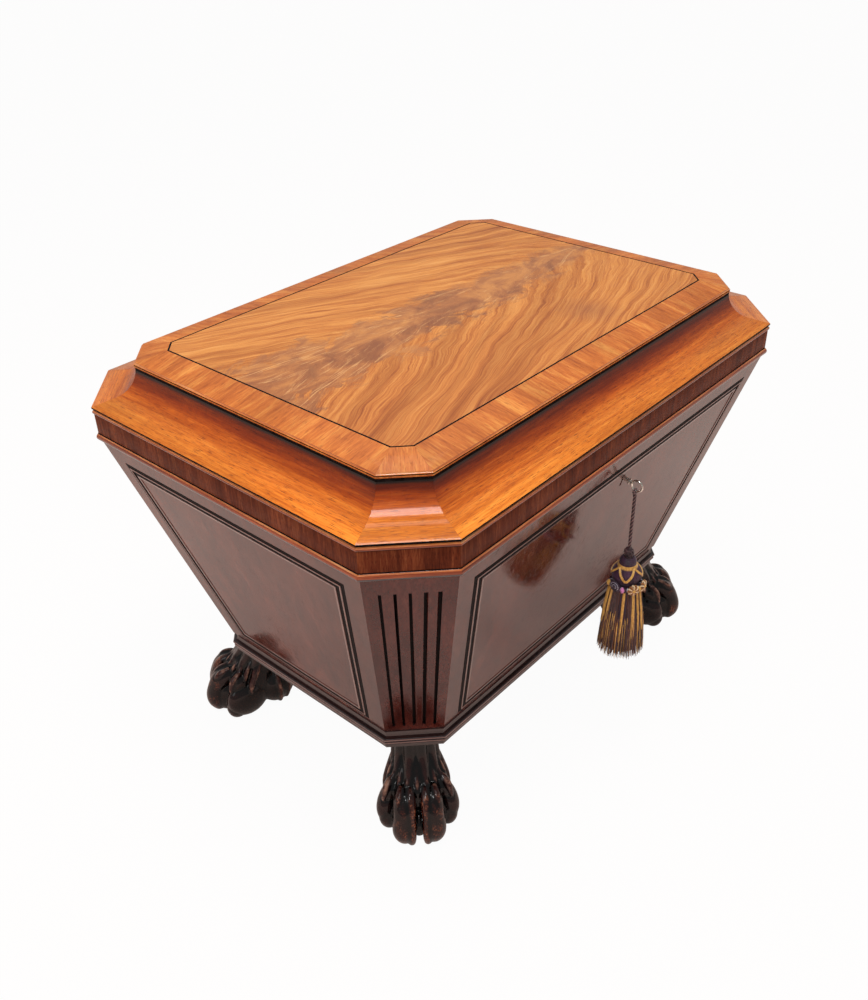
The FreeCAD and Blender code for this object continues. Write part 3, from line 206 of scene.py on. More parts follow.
finishes = {}
PORE_DEPTH = 0.00004
GLASSY = 0.06  # roughness of a fresh coat of polish
Socket = bpy.types.NodeSocket


def put(socket, value):
    """Links a socket to another one, or sets its number or colour."""
    if isinstance(value, Socket):
        socket.id_data.links.new(value, socket)
    else:
        socket.default_value = (*value, 1) if socket.type == "RGBA" else value


def add(kind, feeds, tree=None, **settings):
    """A node in the given tree, or in the one that its feeds come from."""
    tree = tree or next(feed.id_data for feed in feeds.values() if isinstance(feed, Socket))
    made = tree.nodes.new("ShaderNode" + kind)
    for key, value in settings.items():
        setattr(made, key, value)
    for key, value in feeds.items():
        put(made.inputs[key], value)
    return made


def set_on(shader, **values):
    for key, value in values.items():
        put(shader.inputs[key.replace("_", " ")], value)


def new_finish(name, uv=False):
    """A new finish: gives its shader, and the place on the piece that its patterns read."""
    material = finishes[name] = bpy.data.materials.new(name)
    material.use_nodes = True
    tree = material.node_tree
    if uv:
        place = add("UVMap", {}, tree, uv_map="grain").outputs[0]
    else:
        place = add("TexCoord", {}, tree).outputs["Object"]
    return tree.nodes["Principled BSDF"], place


def maths(operation, *values):
    return add("Math", dict(enumerate(values)), operation=operation).outputs[0]


plus, minus, times = (partial(maths, operation) for operation in ("ADD", "SUBTRACT", "MULTIPLY"))


def shared(first, second, share):
    """The sum of two values, the first with that share of it."""
    return plus(times(first, share), times(second, 1 - share))


def shaken(value, pattern, amount):
    """The value, moved up and down by a pattern."""
    return plus(value, times(minus(pattern, 0.5), amount))


def between(value, start, end, first=0, last=1):
    """Runs from first to last while the value runs from start to end."""
    feeds = {"Value": value, "From Min": start, "From Max": end, "To Min": first, "To Max": last}
    return add("MapRange", feeds).outputs[0]


def split(place):
    return add("SeparateXYZ", {"Vector": place}).outputs


def spot_at(x, y):
    return add("CombineXYZ", {"X": x, "Y": y}).outputs[0]


def noise(place, scale, detail, rough=0.55, twist=0):
    feeds = {"Vector": place, "Scale": scale, "Detail": detail, "Roughness": rough, "Distortion": twist}
    return add("TexNoise", feeds).outputs["Fac"]


def streaks(place, stretch, detail, rough=0.55, twist=0, shift=(0, 0, 0)):
    """Noise drawn out along the grain; the larger a stretch, the finer it is that way."""
    feeds = {"Vector": place, "Scale": stretch, "Location": shift}
    return noise(add("Mapping", feeds).outputs[0], 1, detail, rough, twist)


def ramp(factor, *stops):
    """Each stop is a level and its grey or colour."""
    made = add("ValToRGB", {"Fac": factor})
    while len(made.color_ramp.elements) < len(stops):
        made.color_ramp.elements.new(0.5)
    for element, (level, tone) in zip(made.color_ramp.elements, stops):
        element.position = level
        element.color = (*(tone if isinstance(tone, tuple) else (tone,) * 3), 1)
    return made.outputs["Color"]


def mixed(factor, first, second, blend="MIX"):
    feeds = {0: factor, 6: first, 7: second}
    return add("Mix", feeds, data_type="RGBA", blend_type=blend).outputs[2]


def bumped(shader, height, depth, strength):
    """Depth is how far the height's whole range stands, in metres."""
    feeds = {"Height": height, "Distance": depth, "Strength": strength}
    set_on(shader, Normal=add("Bump", feeds).outputs[0])


def wood(name, tones, stretch, uv=False, pores=0.6, gloss=(0.22, 0.4), shine=0.4, coat=0.3, deep=None,
         checks=0, swell=0):
    """Polished wood: streaks, pores and clouds that run along the grain, under a worn shine."""
    shader, place = new_finish(name, uv)

    def drawn_out(times_as_fine, detail, rough, least=0, **more):
        return streaks(place, [s * times_as_fine + least for s in stretch], detail, rough, **more)

    broad = drawn_out(1, 5, 0.62, twist=0.6)
    fine = drawn_out(5.3, 4, 0.65)
    clouds = drawn_out(0.22, 3, 0.5, least=2)
    tick = ramp(drawn_out(17, 2, 0.5), (0.56, 0), (0.68, 1))
    colour = ramp(shared(broad, fine, 0.55), (0.36, tones[0]), (0.5, tones[1]), (0.64, tones[2]))
    colour = mixed(0.75, colour, ramp(clouds, (0.32, 0.62), (0.68, 1.2)), "MULTIPLY")
    colour = mixed(times(tick, pores), colour, tones[3])
    if checks:
        line = maths("ABSOLUTE", minus(drawn_out(0.7, 3, 0.6, twist=0.3, shift=(3, 1, 7)), 0.5))
        few = ramp(noise(place, 9, 1), (0.54, 0), (0.6, checks))
        crack = times(ramp(line, (0, 1), (0.009, 0)), few)
        colour = mixed(crack, colour, (0.006, 0.003, 0.003))
    if deep:
        colour = deep(place, colour)
    rough = ramp(noise(place, 23, 5, 0.65, 1.2), (0.3, gloss[0]), (0.72, gloss[1]))
    height, depth = minus(times(fine, 0.5), tick), PORE_DEPTH
    if swell:
        # the face of old boards isn't flat: their reflections waver along the grain
        height, depth = plus(times(height, PORE_DEPTH / swell), broad), swell
    bumped(shader, height, depth, 0.4)
    set_on(shader, Base_Color=colour, Roughness=plus(rough, times(tick, 0.12)), Specular_IOR_Level=shine,
           Coat_Weight=coat, Coat_Roughness=GLASSY)


def shadowed_top(place, colour):
    """Painted shade at the top of the hollow, under the slab's overhang: warmer and darker upwards, and black
    right under the slab.
    """
    across = split(place)[1]
    level = shaken(across, streaks(place, (9, 90, 1), 6, 0.7), 0.05)
    # painted shade under the slab's overhang: a warm darkening up the hollow, then a dark brown band at its
    # top
    painted_dark_shade = between(level, 0.556, 0.59)
    painted_shade = between(level, 0.528, 0.572)
    colour = mixed(times(painted_shade, 0.85), colour, (0.62, 0.25, 0.08), "MULTIPLY")
    colour = mixed(times(painted_dark_shade, 0.94), colour, (0.085, 0.007, 0.001))
    # a painted black shadow line right under the slab
    return mixed(between(across, 0.5885, 0.592), colour, (0.004, 0.002, 0.001))


def figured(name):
    """Crotch figure of the top: a dark plume along the middle and barbs that curl into it."""
    shader, place = new_finish(name)
    sway = streaks(place, (5, 9, 1), 3, 0.5)
    x, front_to_back, _ = split(place)
    y = shaken(minus(front_to_back, 0.004), sway, 0.05)
    away = maths("ABSOLUTE", y)
    spread = minus(4.4, times(maths("GREATER_THAN", y, 0), 1.1))
    wave = streaks(place, (24, 44, 1), 4, 0.62)
    along = plus(x, times(maths("POWER", away, 1.4), spread))
    along = shaken(along, wave, between(away, 0.02, 0.11, 0.042, 0.008))
    barb = spot_at(along, times(y, 0.35))
    fine = streaks(barb, (260, 90, 1), 5, 0.7)
    colour = ramp(shared(streaks(barb, (44, 34, 1), 4, 0.6), fine, 0.5),
                  (0.37, (0.34, 0.09, 0.017)), (0.46, (0.53, 0.17, 0.033)),
                  (0.55, (0.68, 0.265, 0.058)), (0.66, (0.78, 0.36, 0.105)))
    band = ramp(streaks(barb, (17, 9, 1), 3, 0.5, shift=(2, 4, 0)), (0.36, (0.7, 0.6, 0.52)), (0.54, 1.06))
    colour = mixed(0.6, colour, band, "MULTIPLY")
    # the plume: ragged dark patches, narrower to the right, with pale hairs along it
    width = between(x, -0.29, 0.25, 0.072, 0.026)
    torn = streaks(place, (15, 24, 1), 6, 0.72, 0.9)
    plume = between(minus(times(width, plus(times(torn, 3.4), -0.85)), away), -0.006, 0.012)
    heart = ramp(streaks(place, (14, 26, 1), 4, 0.6, 1, (5, 2, 0)),
                 (0.36, (0.24, 0.085, 0.04)), (0.5, (0.38, 0.14, 0.052)), (0.62, (0.56, 0.23, 0.07)))
    feather = spot_at(x, maths("MULTIPLY_ADD", x, 0.22, away))
    hairs = ramp(streaks(feather, (13, 190, 1), 6, 0.75, 0.9), (0.55, 0), (0.66, 0.85))
    heart = mixed(hairs, heart, (0.82, 0.46, 0.19))
    colour = mixed(times(plume, 0.82), colour, heart)
    # one dark spot near the front, and painted shade darker towards the front left corner
    off = add("VectorMath", {0: place, 1: (0.105, -0.135, TOP)}, operation="DISTANCE").outputs[1]
    dark = between(plus(off, times(wave, 0.02)), 0.055, 0.015, 0, 0.4)
    colour = mixed(dark, colour, (0.24, 0.08, 0.04))
    painted_shade_front_left = between(plus(times(x, 0.5), front_to_back), 0.02, -0.26, 0, 0.75)
    colour = mixed(painted_shade_front_left, colour, (0.8, 0.68, 0.62), "MULTIPLY")
    tick = ramp(streaks(barb, (1300, 320, 1), 2, 0.5), (0.6, 0), (0.72, 1))
    colour = mixed(times(tick, 0.4), colour, (0.14, 0.035, 0.01))
    bumped(shader, minus(fine, tick), PORE_DEPTH, 0.35)
    set_on(shader, Base_Color=colour, Roughness=ramp(noise(place, 19, 5, 0.65, 1.5), (0.3, 0.3), (0.7, 0.48)),
           Specular_IOR_Level=0.25, Coat_Weight=0.12, Coat_Roughness=0.2)


def carved(name):
    """Old black-brown polish on the carving, rubbed back to red wood on the high places, with painted shade
    in the hollows, a painted sheen on the crests and painted glints on the knuckles and ridges.
    """
    shader, place = new_finish(name)
    wear_and_shade, front = (add("Attribute", {}, place.id_data, attribute_name=mark).outputs["Fac"]
                   for mark in ("wear_and_shade", "front"))
    patch = noise(place, 70, 5, 0.65)
    speck = noise(place, 420, 3, 0.6)
    rubbed = times(times(wear_and_shade, plus(times(patch, 1.8), -0.25)), front)
    fresh = ramp(speck, (0.4, (0.03, 0.007, 0.005)), (0.52, (0.15, 0.03, 0.016)),
                 (0.64, (0.6, 0.2, 0.09)))
    # painted shade: near black in the hollows, with a painted sheen of brown on the crests
    polish_with_painted_shade = ramp(shared(wear_and_shade, patch, 0.75), (0.25, (0.0008, 0.0003, 0.0003)), (0.45, (0.006, 0.0016, 0.0014)),
               (0.75, (0.04, 0.009, 0.007)))
    # painted glints on the highest ridges
    painted_glint = times(between(wear_and_shade, 0.74, 0.96, 0, 0.8), ramp(patch, (0.45, 0), (0.6, 1)))
    # painted glints on the knuckles, where the light catches them most
    height = split(place)[2]
    knuckle_glint = times(between(height, 0.054, 0.066), between(height, 0.08, 0.072))
    knuckle_glint = times(knuckle_glint, ramp(wear_and_shade, (0.62, 0), (0.86, 0.7)))
    knuckle_glint = times(knuckle_glint, ramp(patch, (0.47, 0), (0.6, 1)))
    painted_glint = maths("MAXIMUM", times(painted_glint, 0.8), knuckle_glint)
    # the painted glints go on in a pale pinkish tan
    tone = mixed(painted_glint, mixed(between(rubbed, 0.3, 0.68), polish_with_painted_shade, fresh), (0.6, 0.31, 0.21))
    bumped(shader, plus(patch, times(speck, 0.35)), 0.0006, 0.35)
    set_on(shader, Base_Color=tone, Roughness=ramp(speck, (0.3, 0.16), (0.7, 0.32)), Specular_IOR_Level=0.1,
           Coat_Weight=0.5, Coat_Roughness=GLASSY)


def stained(name):
    """Wood stained black right through, as for stringing. The mouldings, frames and posts also use it as
    painted black shade in grooves, gaps and undersides.
    """
    shader, place = new_finish(name)
    grain = streaks(place, (180, 180, 180), 4, 0.6)
    bumped(shader, grain, 0.0001, 0.4)
    set_on(shader, Base_Color=ramp(grain, (0.35, (0.004, 0.003, 0.003)), (0.7, (0.018, 0.013, 0.013))),
           Roughness=ramp(grain, (0.3, 0.3), (0.7, 0.5)), Specular_IOR_Level=0.02)


def silk(name, light, dark, metallic=0):
    """Twisted silk: light and dark along the thread, with a soft shine."""
    shader, place = new_finish(name)
    twist = streaks(place, (900, 900, 240), 3, 0.6, 0.5)
    tone = shared(twist, streaks(place, (160, 160, 25), 3, 0.6), 0.6)
    bumped(shader, twist, 0.0003, 0.5)
    set_on(shader, Base_Color=ramp(tone, (0.38, dark), (0.62, light)), Metallic=metallic,
           Roughness=ramp(twist, (0.3, 0.32), (0.7, 0.6)), Sheen_Weight=0.25, Sheen_Roughness=0.4)


def metal(name, light, dark, rough, grain=(60, 60, 60)):
    """Worn metal with dull, dirty patches and fine scratches."""
    shader, place = new_finish(name)
    cloud = streaks(place, grain, 5, 0.65, 0.5)
    level = shared(cloud, streaks(place, (900, 140, 900), 2, 0.5), 0.6)
    bumped(shader, level, 0.00008, 0.4)
    set_on(shader, Base_Color=ramp(cloud, (0.36, dark), (0.62, light)), Metallic=1,
           Roughness=ramp(level, (0.35, rough[0]), (0.65, rough[1])))


# each wood has three tones from dark to light and the tone of its pores, and its stretch along the grain
PALE_BEAD = {"stretch": (5, 150, 1), "uv": True, "pores": 0.4, "gloss": (0.14, 0.26), "shine": 0.6,
               "coat": 0.5}
figured("figured_mahogany")
wood("crossband_mahogany",
     [(0.38, 0.085, 0.014), (0.58, 0.155, 0.026), (0.76, 0.29, 0.06), (0.14, 0.03, 0.008)],
     (52, 5, 1), uv=True, pores=0.4, gloss=(0.3, 0.5), shine=0.25, coat=0.08)
wood("cavetto_mahogany",
     [(0.5, 0.105, 0.007), (0.72, 0.19, 0.017), (0.9, 0.3, 0.038), (0.13, 0.018, 0.004)],
     (4.5, 75, 1), uv=True, pores=0.85, gloss=(0.2, 0.34), shine=0.12, coat=0.48, deep=shadowed_top)
wood("frieze_mahogany",
     [(0.075, 0.013, 0.005), (0.15, 0.03, 0.011), (0.27, 0.072, 0.026), (0.022, 0.004, 0.003)],
     (120, 9, 1), uv=True, pores=0.7, gloss=(0.28, 0.42), shine=0.06, coat=0)
wood("bead_mahogany",
     [(0.16, 0.02, 0.005), (0.3, 0.052, 0.011), (0.46, 0.11, 0.026), (0.02, 0.004, 0.003)],
     (5, 150, 1), uv=True, pores=0.5, gloss=(0.1, 0.2), shine=0.35, coat=0.7)
# a pale, glossy finish that paints highlights along the beads' and the slab's upper arrises
wood("painted_highlight_edge",
     [(0.38, 0.075, 0.014), (0.62, 0.175, 0.04), (0.86, 0.4, 0.16), (0.08, 0.015, 0.005)],
     (9, 150, 1), uv=True, pores=0.5, gloss=(0.1, 0.2), shine=0.4, coat=0.8)
# a pale finish that paints highlight lines on the plinth's beads
wood("plinth_edge",
     [(0.1, 0.04, 0.034), (0.2, 0.095, 0.08), (0.32, 0.17, 0.145), (0.02, 0.006, 0.005)],
     **PALE_BEAD)
wood("post_mahogany",
     [(0.05, 0.0075, 0.0055), (0.085, 0.014, 0.009), (0.13, 0.026, 0.017), (0.012, 0.003, 0.003)],
     (34, 34, 3.0), pores=0.35, gloss=(0.08, 0.17), shine=0.34, coat=0)
wood("frame_bead",
     [(0.12, 0.045, 0.034), (0.2, 0.085, 0.066), (0.3, 0.14, 0.11), (0.02, 0.006, 0.005)],
     **PALE_BEAD)
wood("dark_bead",
     [(0.014, 0.004, 0.004), (0.028, 0.009, 0.008), (0.055, 0.017, 0.014), (0.006, 0.002, 0.002)],
     (5, 150, 1), uv=True, pores=0.5, gloss=(0.12, 0.24), shine=0.6, coat=0.5)
wood("polished_mahogany",
     [(0.056, 0.011, 0.008), (0.1, 0.021, 0.012), (0.165, 0.04, 0.023), (0.025, 0.006, 0.005)],
     (30, 30, 3.2), pores=0.3, gloss=(0.05, 0.17), shine=0.42, coat=0, checks=0.7, swell=0.0003)
wood("inner_mahogany",
     [(0.16, 0.05, 0.022), (0.25, 0.085, 0.036), (0.34, 0.13, 0.055), (0.07, 0.02, 0.01)],
     (4, 45, 45), gloss=(0.45, 0.65), coat=0)
wood("pine",
     [(0.33, 0.19, 0.08), (0.46, 0.29, 0.13), (0.58, 0.4, 0.2), (0.2, 0.1, 0.04)],
     (3, 50, 50), gloss=(0.5, 0.7), coat=0)
carved("carved_mahogany")
stained("ebony")
metal("zinc", (0.42, 0.43, 0.44), (0.22, 0.23, 0.24), (0.42, 0.66), (9, 9, 14))
metal("brass", (0.62, 0.42, 0.16), (0.3, 0.18, 0.07), (0.24, 0.45))
metal("steel", (0.9, 0.87, 0.8), (0.4, 0.36, 0.31), (0.1, 0.26), (240, 240, 240))
silk("silk_cord", (0.075, 0.026, 0.032), (0.012, 0.004, 0.007))
silk("fleck_silk", (0.5, 0.3, 0.27), (0.16, 0.07, 0.07))
silk("silk_head", (0.085, 0.022, 0.062), (0.014, 0.005, 0.016))
silk("silk_rosette", (0.95, 0.78, 0.52), (0.62, 0.38, 0.18))
silk("silk_skirt", (0.13, 0.045, 0.034), (0.025, 0.008, 0.012))
silk("gold_silk", (0.92, 0.55, 0.14), (0.48, 0.21, 0.03))
silk("amber_silk", (0.5, 0.2, 0.045), (0.2, 0.06, 0.015))
silk("purple_silk", (0.065, 0.024, 0.055), (0.015, 0.006, 0.015))
silk("silver_thread", (0.75, 0.72, 0.8), (0.36, 0.33, 0.42), 0.3)
silk("pink_silk", (0.85, 0.3, 0.6), (0.5, 0.13, 0.34))

for node in nodes.values():
    for holder in node.material_slots:
        worn = holder.material.name.split(".")[0] if holder.material else ""
        if worn in finishes:
            holder.material = finishes[worn]


# ---- mouldings, in mitred lengths

ARRIS = radians(28)  # a section that turns more than this has an edge there
MITRE_GAP = 0.00005
OVERRUN = 0.1  # how much longer a length is before its mitres are cut
GRAIN_SHIFT = 1.37  # so that no two lengths show the same grain


def drawn(name, steps, soft):
    """A closed section, Y inwards and Z up; a step may be an arc of (inset, height, radius, turn)."""
    bpy.ops.mesh.primitive_plane_add(size=0.01)
    section = bpy.context.object
    bpy.ops.object.mode_set(mode="EDIT")
    bpy.ops.mesh.merge(type="CENTER")
    here = Vector(steps[0])
    bpy.ops.transform.translate(value=(0, *here))
    for step in steps[1:]:
        there = Vector(step[:2])
        chord = there - here
        if len(step) == 2:
            bpy.ops.mesh.extrude_region_move(TRANSFORM_OT_translate={"value": (0, *chord)})
        else:
            radius, turn = step[2:]
            rise = sqrt(max(0, radius ** 2 - (chord.length / 2) ** 2))
            centre = (here + there) / 2 + turn * rise * Vector((-chord.y, chord.x)).normalized()
            sweep = 2 * asin(min(1, chord.length / 2 / radius))
            bpy.ops.mesh.spin(steps=max(4, round(sweep * 9)), angle=-turn * sweep, center=(0, *centre),
                              axis=(1, 0, 0))
        here = there
    bpy.ops.mesh.select_all(action="SELECT")
    bpy.ops.mesh.remove_doubles(threshold=1e-6)
    bpy.ops.mesh.edge_face_add()
    put_down()
    if soft:
        order = list(section.data.polygons[0].vertices)
        ring = [section.data.vertices[index].co.copy() for index in order]
        sharp = set()
        for k, index in enumerate(order):
            before, after = ring[k] - ring[k - 1], ring[(k + 1) % len(ring)] - ring[k]
            if before.angle(after) > ARRIS and min(before.length, after.length) > 2.2 * soft:
                sharp.add(index)
        if sharp:
            choose(section, "VERT", lambda v: v.index in sharp)
            bpy.ops.mesh.bevel(affect="VERTICES", offset=soft, segments=2)
            put_down()
    section.name = name
    return section


def mitred(name, corners, lift, steps, soft, coat, stripes):
    """One moulding: its section run along each side and cut on the mitre, a hair apart.

    A stripe is its range of insets, its range of heights and its own coat.
    """
    lift = Vector(lift)
    section = drawn(name, steps, soft)
    count = len(corners)
    ways = [corners[(k + 1) % count] - corners[k] for k in range(count)]
    lengths = []
    for k, (corner, way) in enumerate(zip(corners, ways)):
        run, along = way.length, way.normalized()
        length = copied(section, name)
        fixed(length, Matrix.Translation((-OVERRUN, 0, 0)))
        everything(length)
        bpy.ops.mesh.extrude_region_move(TRANSFORM_OT_translate={"value": (run + 2 * OVERRUN, 0, 0)})
        for end, other, sign in ((0, ways[k - 1], -1), (run, ways[(k + 1) % count], 1)):
            half = other.angle(way) / 2
            normal = Vector((sign * cos(half), sin(half), 0))
            bpy.ops.mesh.select_all(action="SELECT")
            bpy.ops.mesh.bisect(plane_co=Vector((end, 0, 0)) - normal * MITRE_GAP, plane_no=normal,
                                use_fill=True, clear_outer=True)
        bpy.ops.mesh.select_all(action="SELECT")
        bpy.ops.mesh.normals_make_consistent(inside=False)
        put_down()
        grain = length.data.uv_layers.new(name="grain")
        for loop in length.data.loops:
            point = length.data.vertices[loop.vertex_index].co
            grain.data[loop.index].uv = (point.x + k * GRAIN_SHIFT, point.y + point.z)
        coats = coated(length, [coat] + [stripe[-1] for stripe in stripes])
        for insets, heights, other_coat in stripes:
            for face in length.data.polygons:
                if insets[0] < face.center.y < insets[1] and heights[0] < face.center.z < heights[1]:
                    face.material_index = coats.index(other_coat)
        place = Matrix((along, lift.cross(along), lift)).transposed().to_4x4()
        place.translation = corner
        fixed(length, place)
        lengths.append(length)
    bpy.data.objects.remove(section)
    return joined(lengths, name)


def octagon(half_x, half_y, cant):
    """Corners in order round the plan, front side first."""
    a, b = half_x - cant, half_y - cant
    ring = [(-a, -half_y), (a, -half_y), (half_x, -b), (half_x, b), (a, half_y), (-a, half_y), (-half_x, b),
            (-half_x, -b)]
    return [Vector((x, y, 0)) for x, y in ring]


def half_round(inset, foot, height):
    radius = height / 2
    return [(inset, foot), (inset - radius, foot + radius, radius, -1), (inset, foot + height, radius, -1)]


def run_round(name, plan, steps, body, slot, node, stripes=(), soft=0.0003, coat=None):
    """A moulding that runs round the whole chest."""
    piece = mitred(name, plan, UP, steps, soft, coat or slot, stripes)
    finished(piece, body, node)


ANY = (-1, 1)
LID = octagon(0.38, 0.2805, 0.0685)
FOOT = octagon(FOOT_X, FOOT_Y, FOOT_CANT)
run_round("frieze", LID, [(0.0255, LID_FOOT), (0.0255, BEAD_FOOT), (0.0015, BEAD_FOOT), (0.0015, LID_FOOT)],
          "lid", "frieze_mahogany", "frieze_moulding")
# The upper bead's underside, where it meets the frieze, is painted black as shade, and its top by the lip
# carries a painted highlight.
run_round("upper_bead", LID,
          [(0.0255, LIP_FOOT), (0.0255, BEAD_FOOT), (0.0025, BEAD_FOOT), (0, 0.5011, 0.0025, -1),
           (0.0025, LIP_FOOT, 0.0025, -1)],
          "lid", "bead_mahogany", "lid_upper_bead",
          [(ANY, (BEAD_FOOT - 0.001, BEAD_FOOT + 0.0013), "ebony"),
           (ANY, (LIP_FOOT - 0.0015, LIP_FOOT + 0.001), "painted_highlight_edge")], 0)
# The hollow's top strip under the slab and the small recess at its foot are painted black, as shade.
run_round("cavetto", LID,
          [(0.07, SLAB_FOOT), (0.07, LIP_FOOT), (0.0019, LIP_FOOT), (0.0019, 0.5055), (0, 0.5055),
           (0, 0.5075), (0.024, 0.512), (0.0525, SLAB_FOOT, 0.033, 1)],
          "lid", "cavetto_mahogany", "cavetto_moulding",
          [(ANY, (SLAB_FOOT - 0.003, TOP), "ebony"), ((-1, 0.003), (LIP_FOOT, 0.5074), "ebony")])
# The groove in the slab's edge is painted black as shade, and the slab's upper arris carries a painted
# highlight.
run_round("crossbanding", LID,
          [(0.0885, SLAB_FOOT), (0.0885, TOP), (0.0533, 0.54984), (0.0515, 0.5482, 0.0019, -1),
           (0.0515, 0.5478), (0.0523, 0.5476), (0.0523, 0.5468), (0.0515, 0.5466), (0.0515, 0.545),
           (0.052, SLAB_FOOT)],
          "lid", "crossband_mahogany", "top_crossbanding",
          [((-1, 0.0525), (0.54661, 0.54779), "ebony"), ((-1, 0.0533), (0.5483, 0.5499), "painted_highlight_edge")],
          0.00015)
# On the rim, the gap under the lid is painted black as shade, a painted highlight runs along the bead's upper
# part, and its lower half is painted dark as shade.
run_round("rim", LID, [(0.024, 0.4736), (0.024, CARCASE_HEAD)] + half_round(0.0035, CARCASE_HEAD, 0.0096),
          "carcase", "bead_mahogany", "rim_moulding",
          [((-1, 0.0035), (0.4729, LID_FOOT), "ebony"), ((-1, 0.0035), (0.4716, 0.4729), "painted_highlight_edge"),
           ((-1, 0.0035), (CARCASE_HEAD - 0.001, 0.4684), "dark_bead")], 0)
# The plinth's beads carry painted highlight lines on their upper crowns and along its top curve.
run_round("plinth", FOOT,
          [(0.012, CARCASE_FOOT), (0.012, PLINTH_FOOT), (0.0025, PLINTH_FOOT), (0.0025, 0.1295)]
          + half_round(0.0008, 0.1295, 0.0045) + half_round(0, 0.1345, 0.005)
          + [(0.0024, 0.1395), (0.0024, 0.1415), (0, CARCASE_FOOT, 0.009, 1)],
          "carcase", "bead_mahogany", "plinth_moulding",
          [(ANY, (0.1318, 0.133), "plinth_edge"), (ANY, (0.1371, 0.1384), "plinth_edge"),
           (ANY, (0.1512, 1), "plinth_edge")], 0, "dark_bead")


# ---- raised frames on the four faces

LEAN = atan2(FLARE, CARCASE_HEAD - CARCASE_FOOT)
SLOPE = hypot(FLARE, CARCASE_HEAD - CARCASE_FOOT)
MARGIN = 0.024  # from the frame to the posts and to the carcase's head
FRAME = [(0.0152, 0), (0.015, 0.0008), (0.0126, 0.0009), (0.0124, 0.0003), (0.0072, 0.0003),
         (0.007, 0.0007), (0.0057, 0.0013, 0.0014, 1), (0.0044, 0.0007, 0.0014, 1), (0.0042, 0.0004),
         (0.0006, 0.0004), (0, 0)]
# the black lines by the frame's bead are ebonised, and they also paint the shade that falls beside the proud
# bead
BLACK_LINES = [((-1, 0.0045), ANY, "ebony"), ((0.0069, 0.0125), ANY, "ebony")]


def framed(face, turn, foot_half, out):
    """The frame on one face, whose middle at the foot lies that far out from the chest's middle."""
    spin = Matrix.Rotation(radians(turn), 3, "Z")
    along = spin @ Vector((1, 0, 0))
    climb = spin @ Vector((0, -sin(LEAN), cos(LEAN)))
    outward = spin @ Vector((0, -cos(LEAN), -sin(LEAN)))
    middle = spin @ Vector((0, -out, CARCASE_FOOT))
    rake = (FLARE + FOOT_CANT - HEAD_CANT) / SLOPE
    inner_half = foot_half - MARGIN * hypot(1, rake)
    ring = [middle + along * side * (inner_half + rake * height) + climb * height
            for side, height in ((-1, 0.007), (1, 0.007), (1, SLOPE - MARGIN), (-1, SLOPE - MARGIN))]
    piece = mitred("frame_" + face, ring, outward, FRAME, 0, "frame_bead", BLACK_LINES)
    finished(piece, "carcase", "panel_moulding_" + face)


framed("front", 0, FOOT_X - FOOT_CANT, FOOT_Y)
framed("right", 90, FOOT_Y - FOOT_CANT, FOOT_X)
framed("back", 180, FOOT_X - FOOT_CANT, FOOT_Y)
framed("left", 270, FOOT_Y - FOOT_CANT, FOOT_X)


# ---- reeded corner posts

FLUTED_HALF = 0.033  # half the width of a post that its flutes take up
FLUTE_BED = (0.0012, 0.0042)  # the depths that are painted black, as shade in the flutes


def reeded(corner, sign_x, sign_y):
    """A copy of the CAD post with eased mouths to its flutes, and painted black shade in their beds."""
    post = copied(nodes["corner_post_" + corner], "post_" + corner)
    post.parent = None
    for key in list(post.keys()):
        del post[key]
    everything(post)
    bpy.ops.mesh.remove_doubles(threshold=0.00002)
    bpy.ops.mesh.dissolve_limited(angle_limit=radians(0.6))
    put_down()
    foot_x, foot_y = FOOT_X - FOOT_CANT / 2, FOOT_Y - FOOT_CANT / 2
    head_out = FLARE + (FOOT_CANT - HEAD_CANT) / 2
    middle = Vector((sign_x * foot_x, sign_y * foot_y, CARCASE_FOOT))
    head = Vector((sign_x * (foot_x + head_out), sign_y * (foot_y + head_out), CARCASE_HEAD))
    climb = (head - middle).normalized()
    across = Vector((-sign_y, sign_x, 0)).normalized()
    normal = climb.cross(across)
    if normal.dot(Vector((sign_x, sign_y, 0))) < 0:
        normal.negate()
    points = post.data.vertices

    def depth(point):
        return (middle - point).dot(normal)

    def on_face(point):
        return abs((point - middle).dot(across)) < FLUTED_HALF

    def at_mouth(edge):
        ends = [points[i].co for i in edge.vertices]
        if (ends[0] - ends[1]).length < 0.2:
            return False
        return all(abs(depth(end)) < 0.0003 and on_face(end) for end in ends)

    choose(post, "EDGE", at_mouth)
    bpy.ops.mesh.bevel(affect="EDGES", offset=0.0019, segments=4, profile=0.5)
    put_down()
    coated(post, ["post_mahogany", "ebony"])
    for face in post.data.polygons:
        within = on_face(face.center) and CARCASE_FOOT < face.center.z < CARCASE_HEAD
        face.material_index = int(within and FLUTE_BED[0] < depth(face.center) < FLUTE_BED[1])
    finished(post, "carcase", "corner_post_" + corner, 40)
    modified(post, "WEIGHTED_NORMAL", keep_sharp=True, weight=100)


CORNERS = {"front_left": (-1, -1), "front_right": (1, -1), "back_left": (-1, 1), "back_right": (1, 1)}
for corner, signs in CORNERS.items():
    reeded(corner, *signs)


# ---- carved paw feet

def lump(place, size, tilt=0, turn=0):
    """An egg shape, its sizes half across, tilted forward and then turned."""
    bpy.ops.mesh.primitive_uv_sphere_add(segments=28, ring_count=18, radius=1, location=place, scale=size,
                                         rotation=(0, radians(tilt), radians(turn)))
    return bpy.context.object


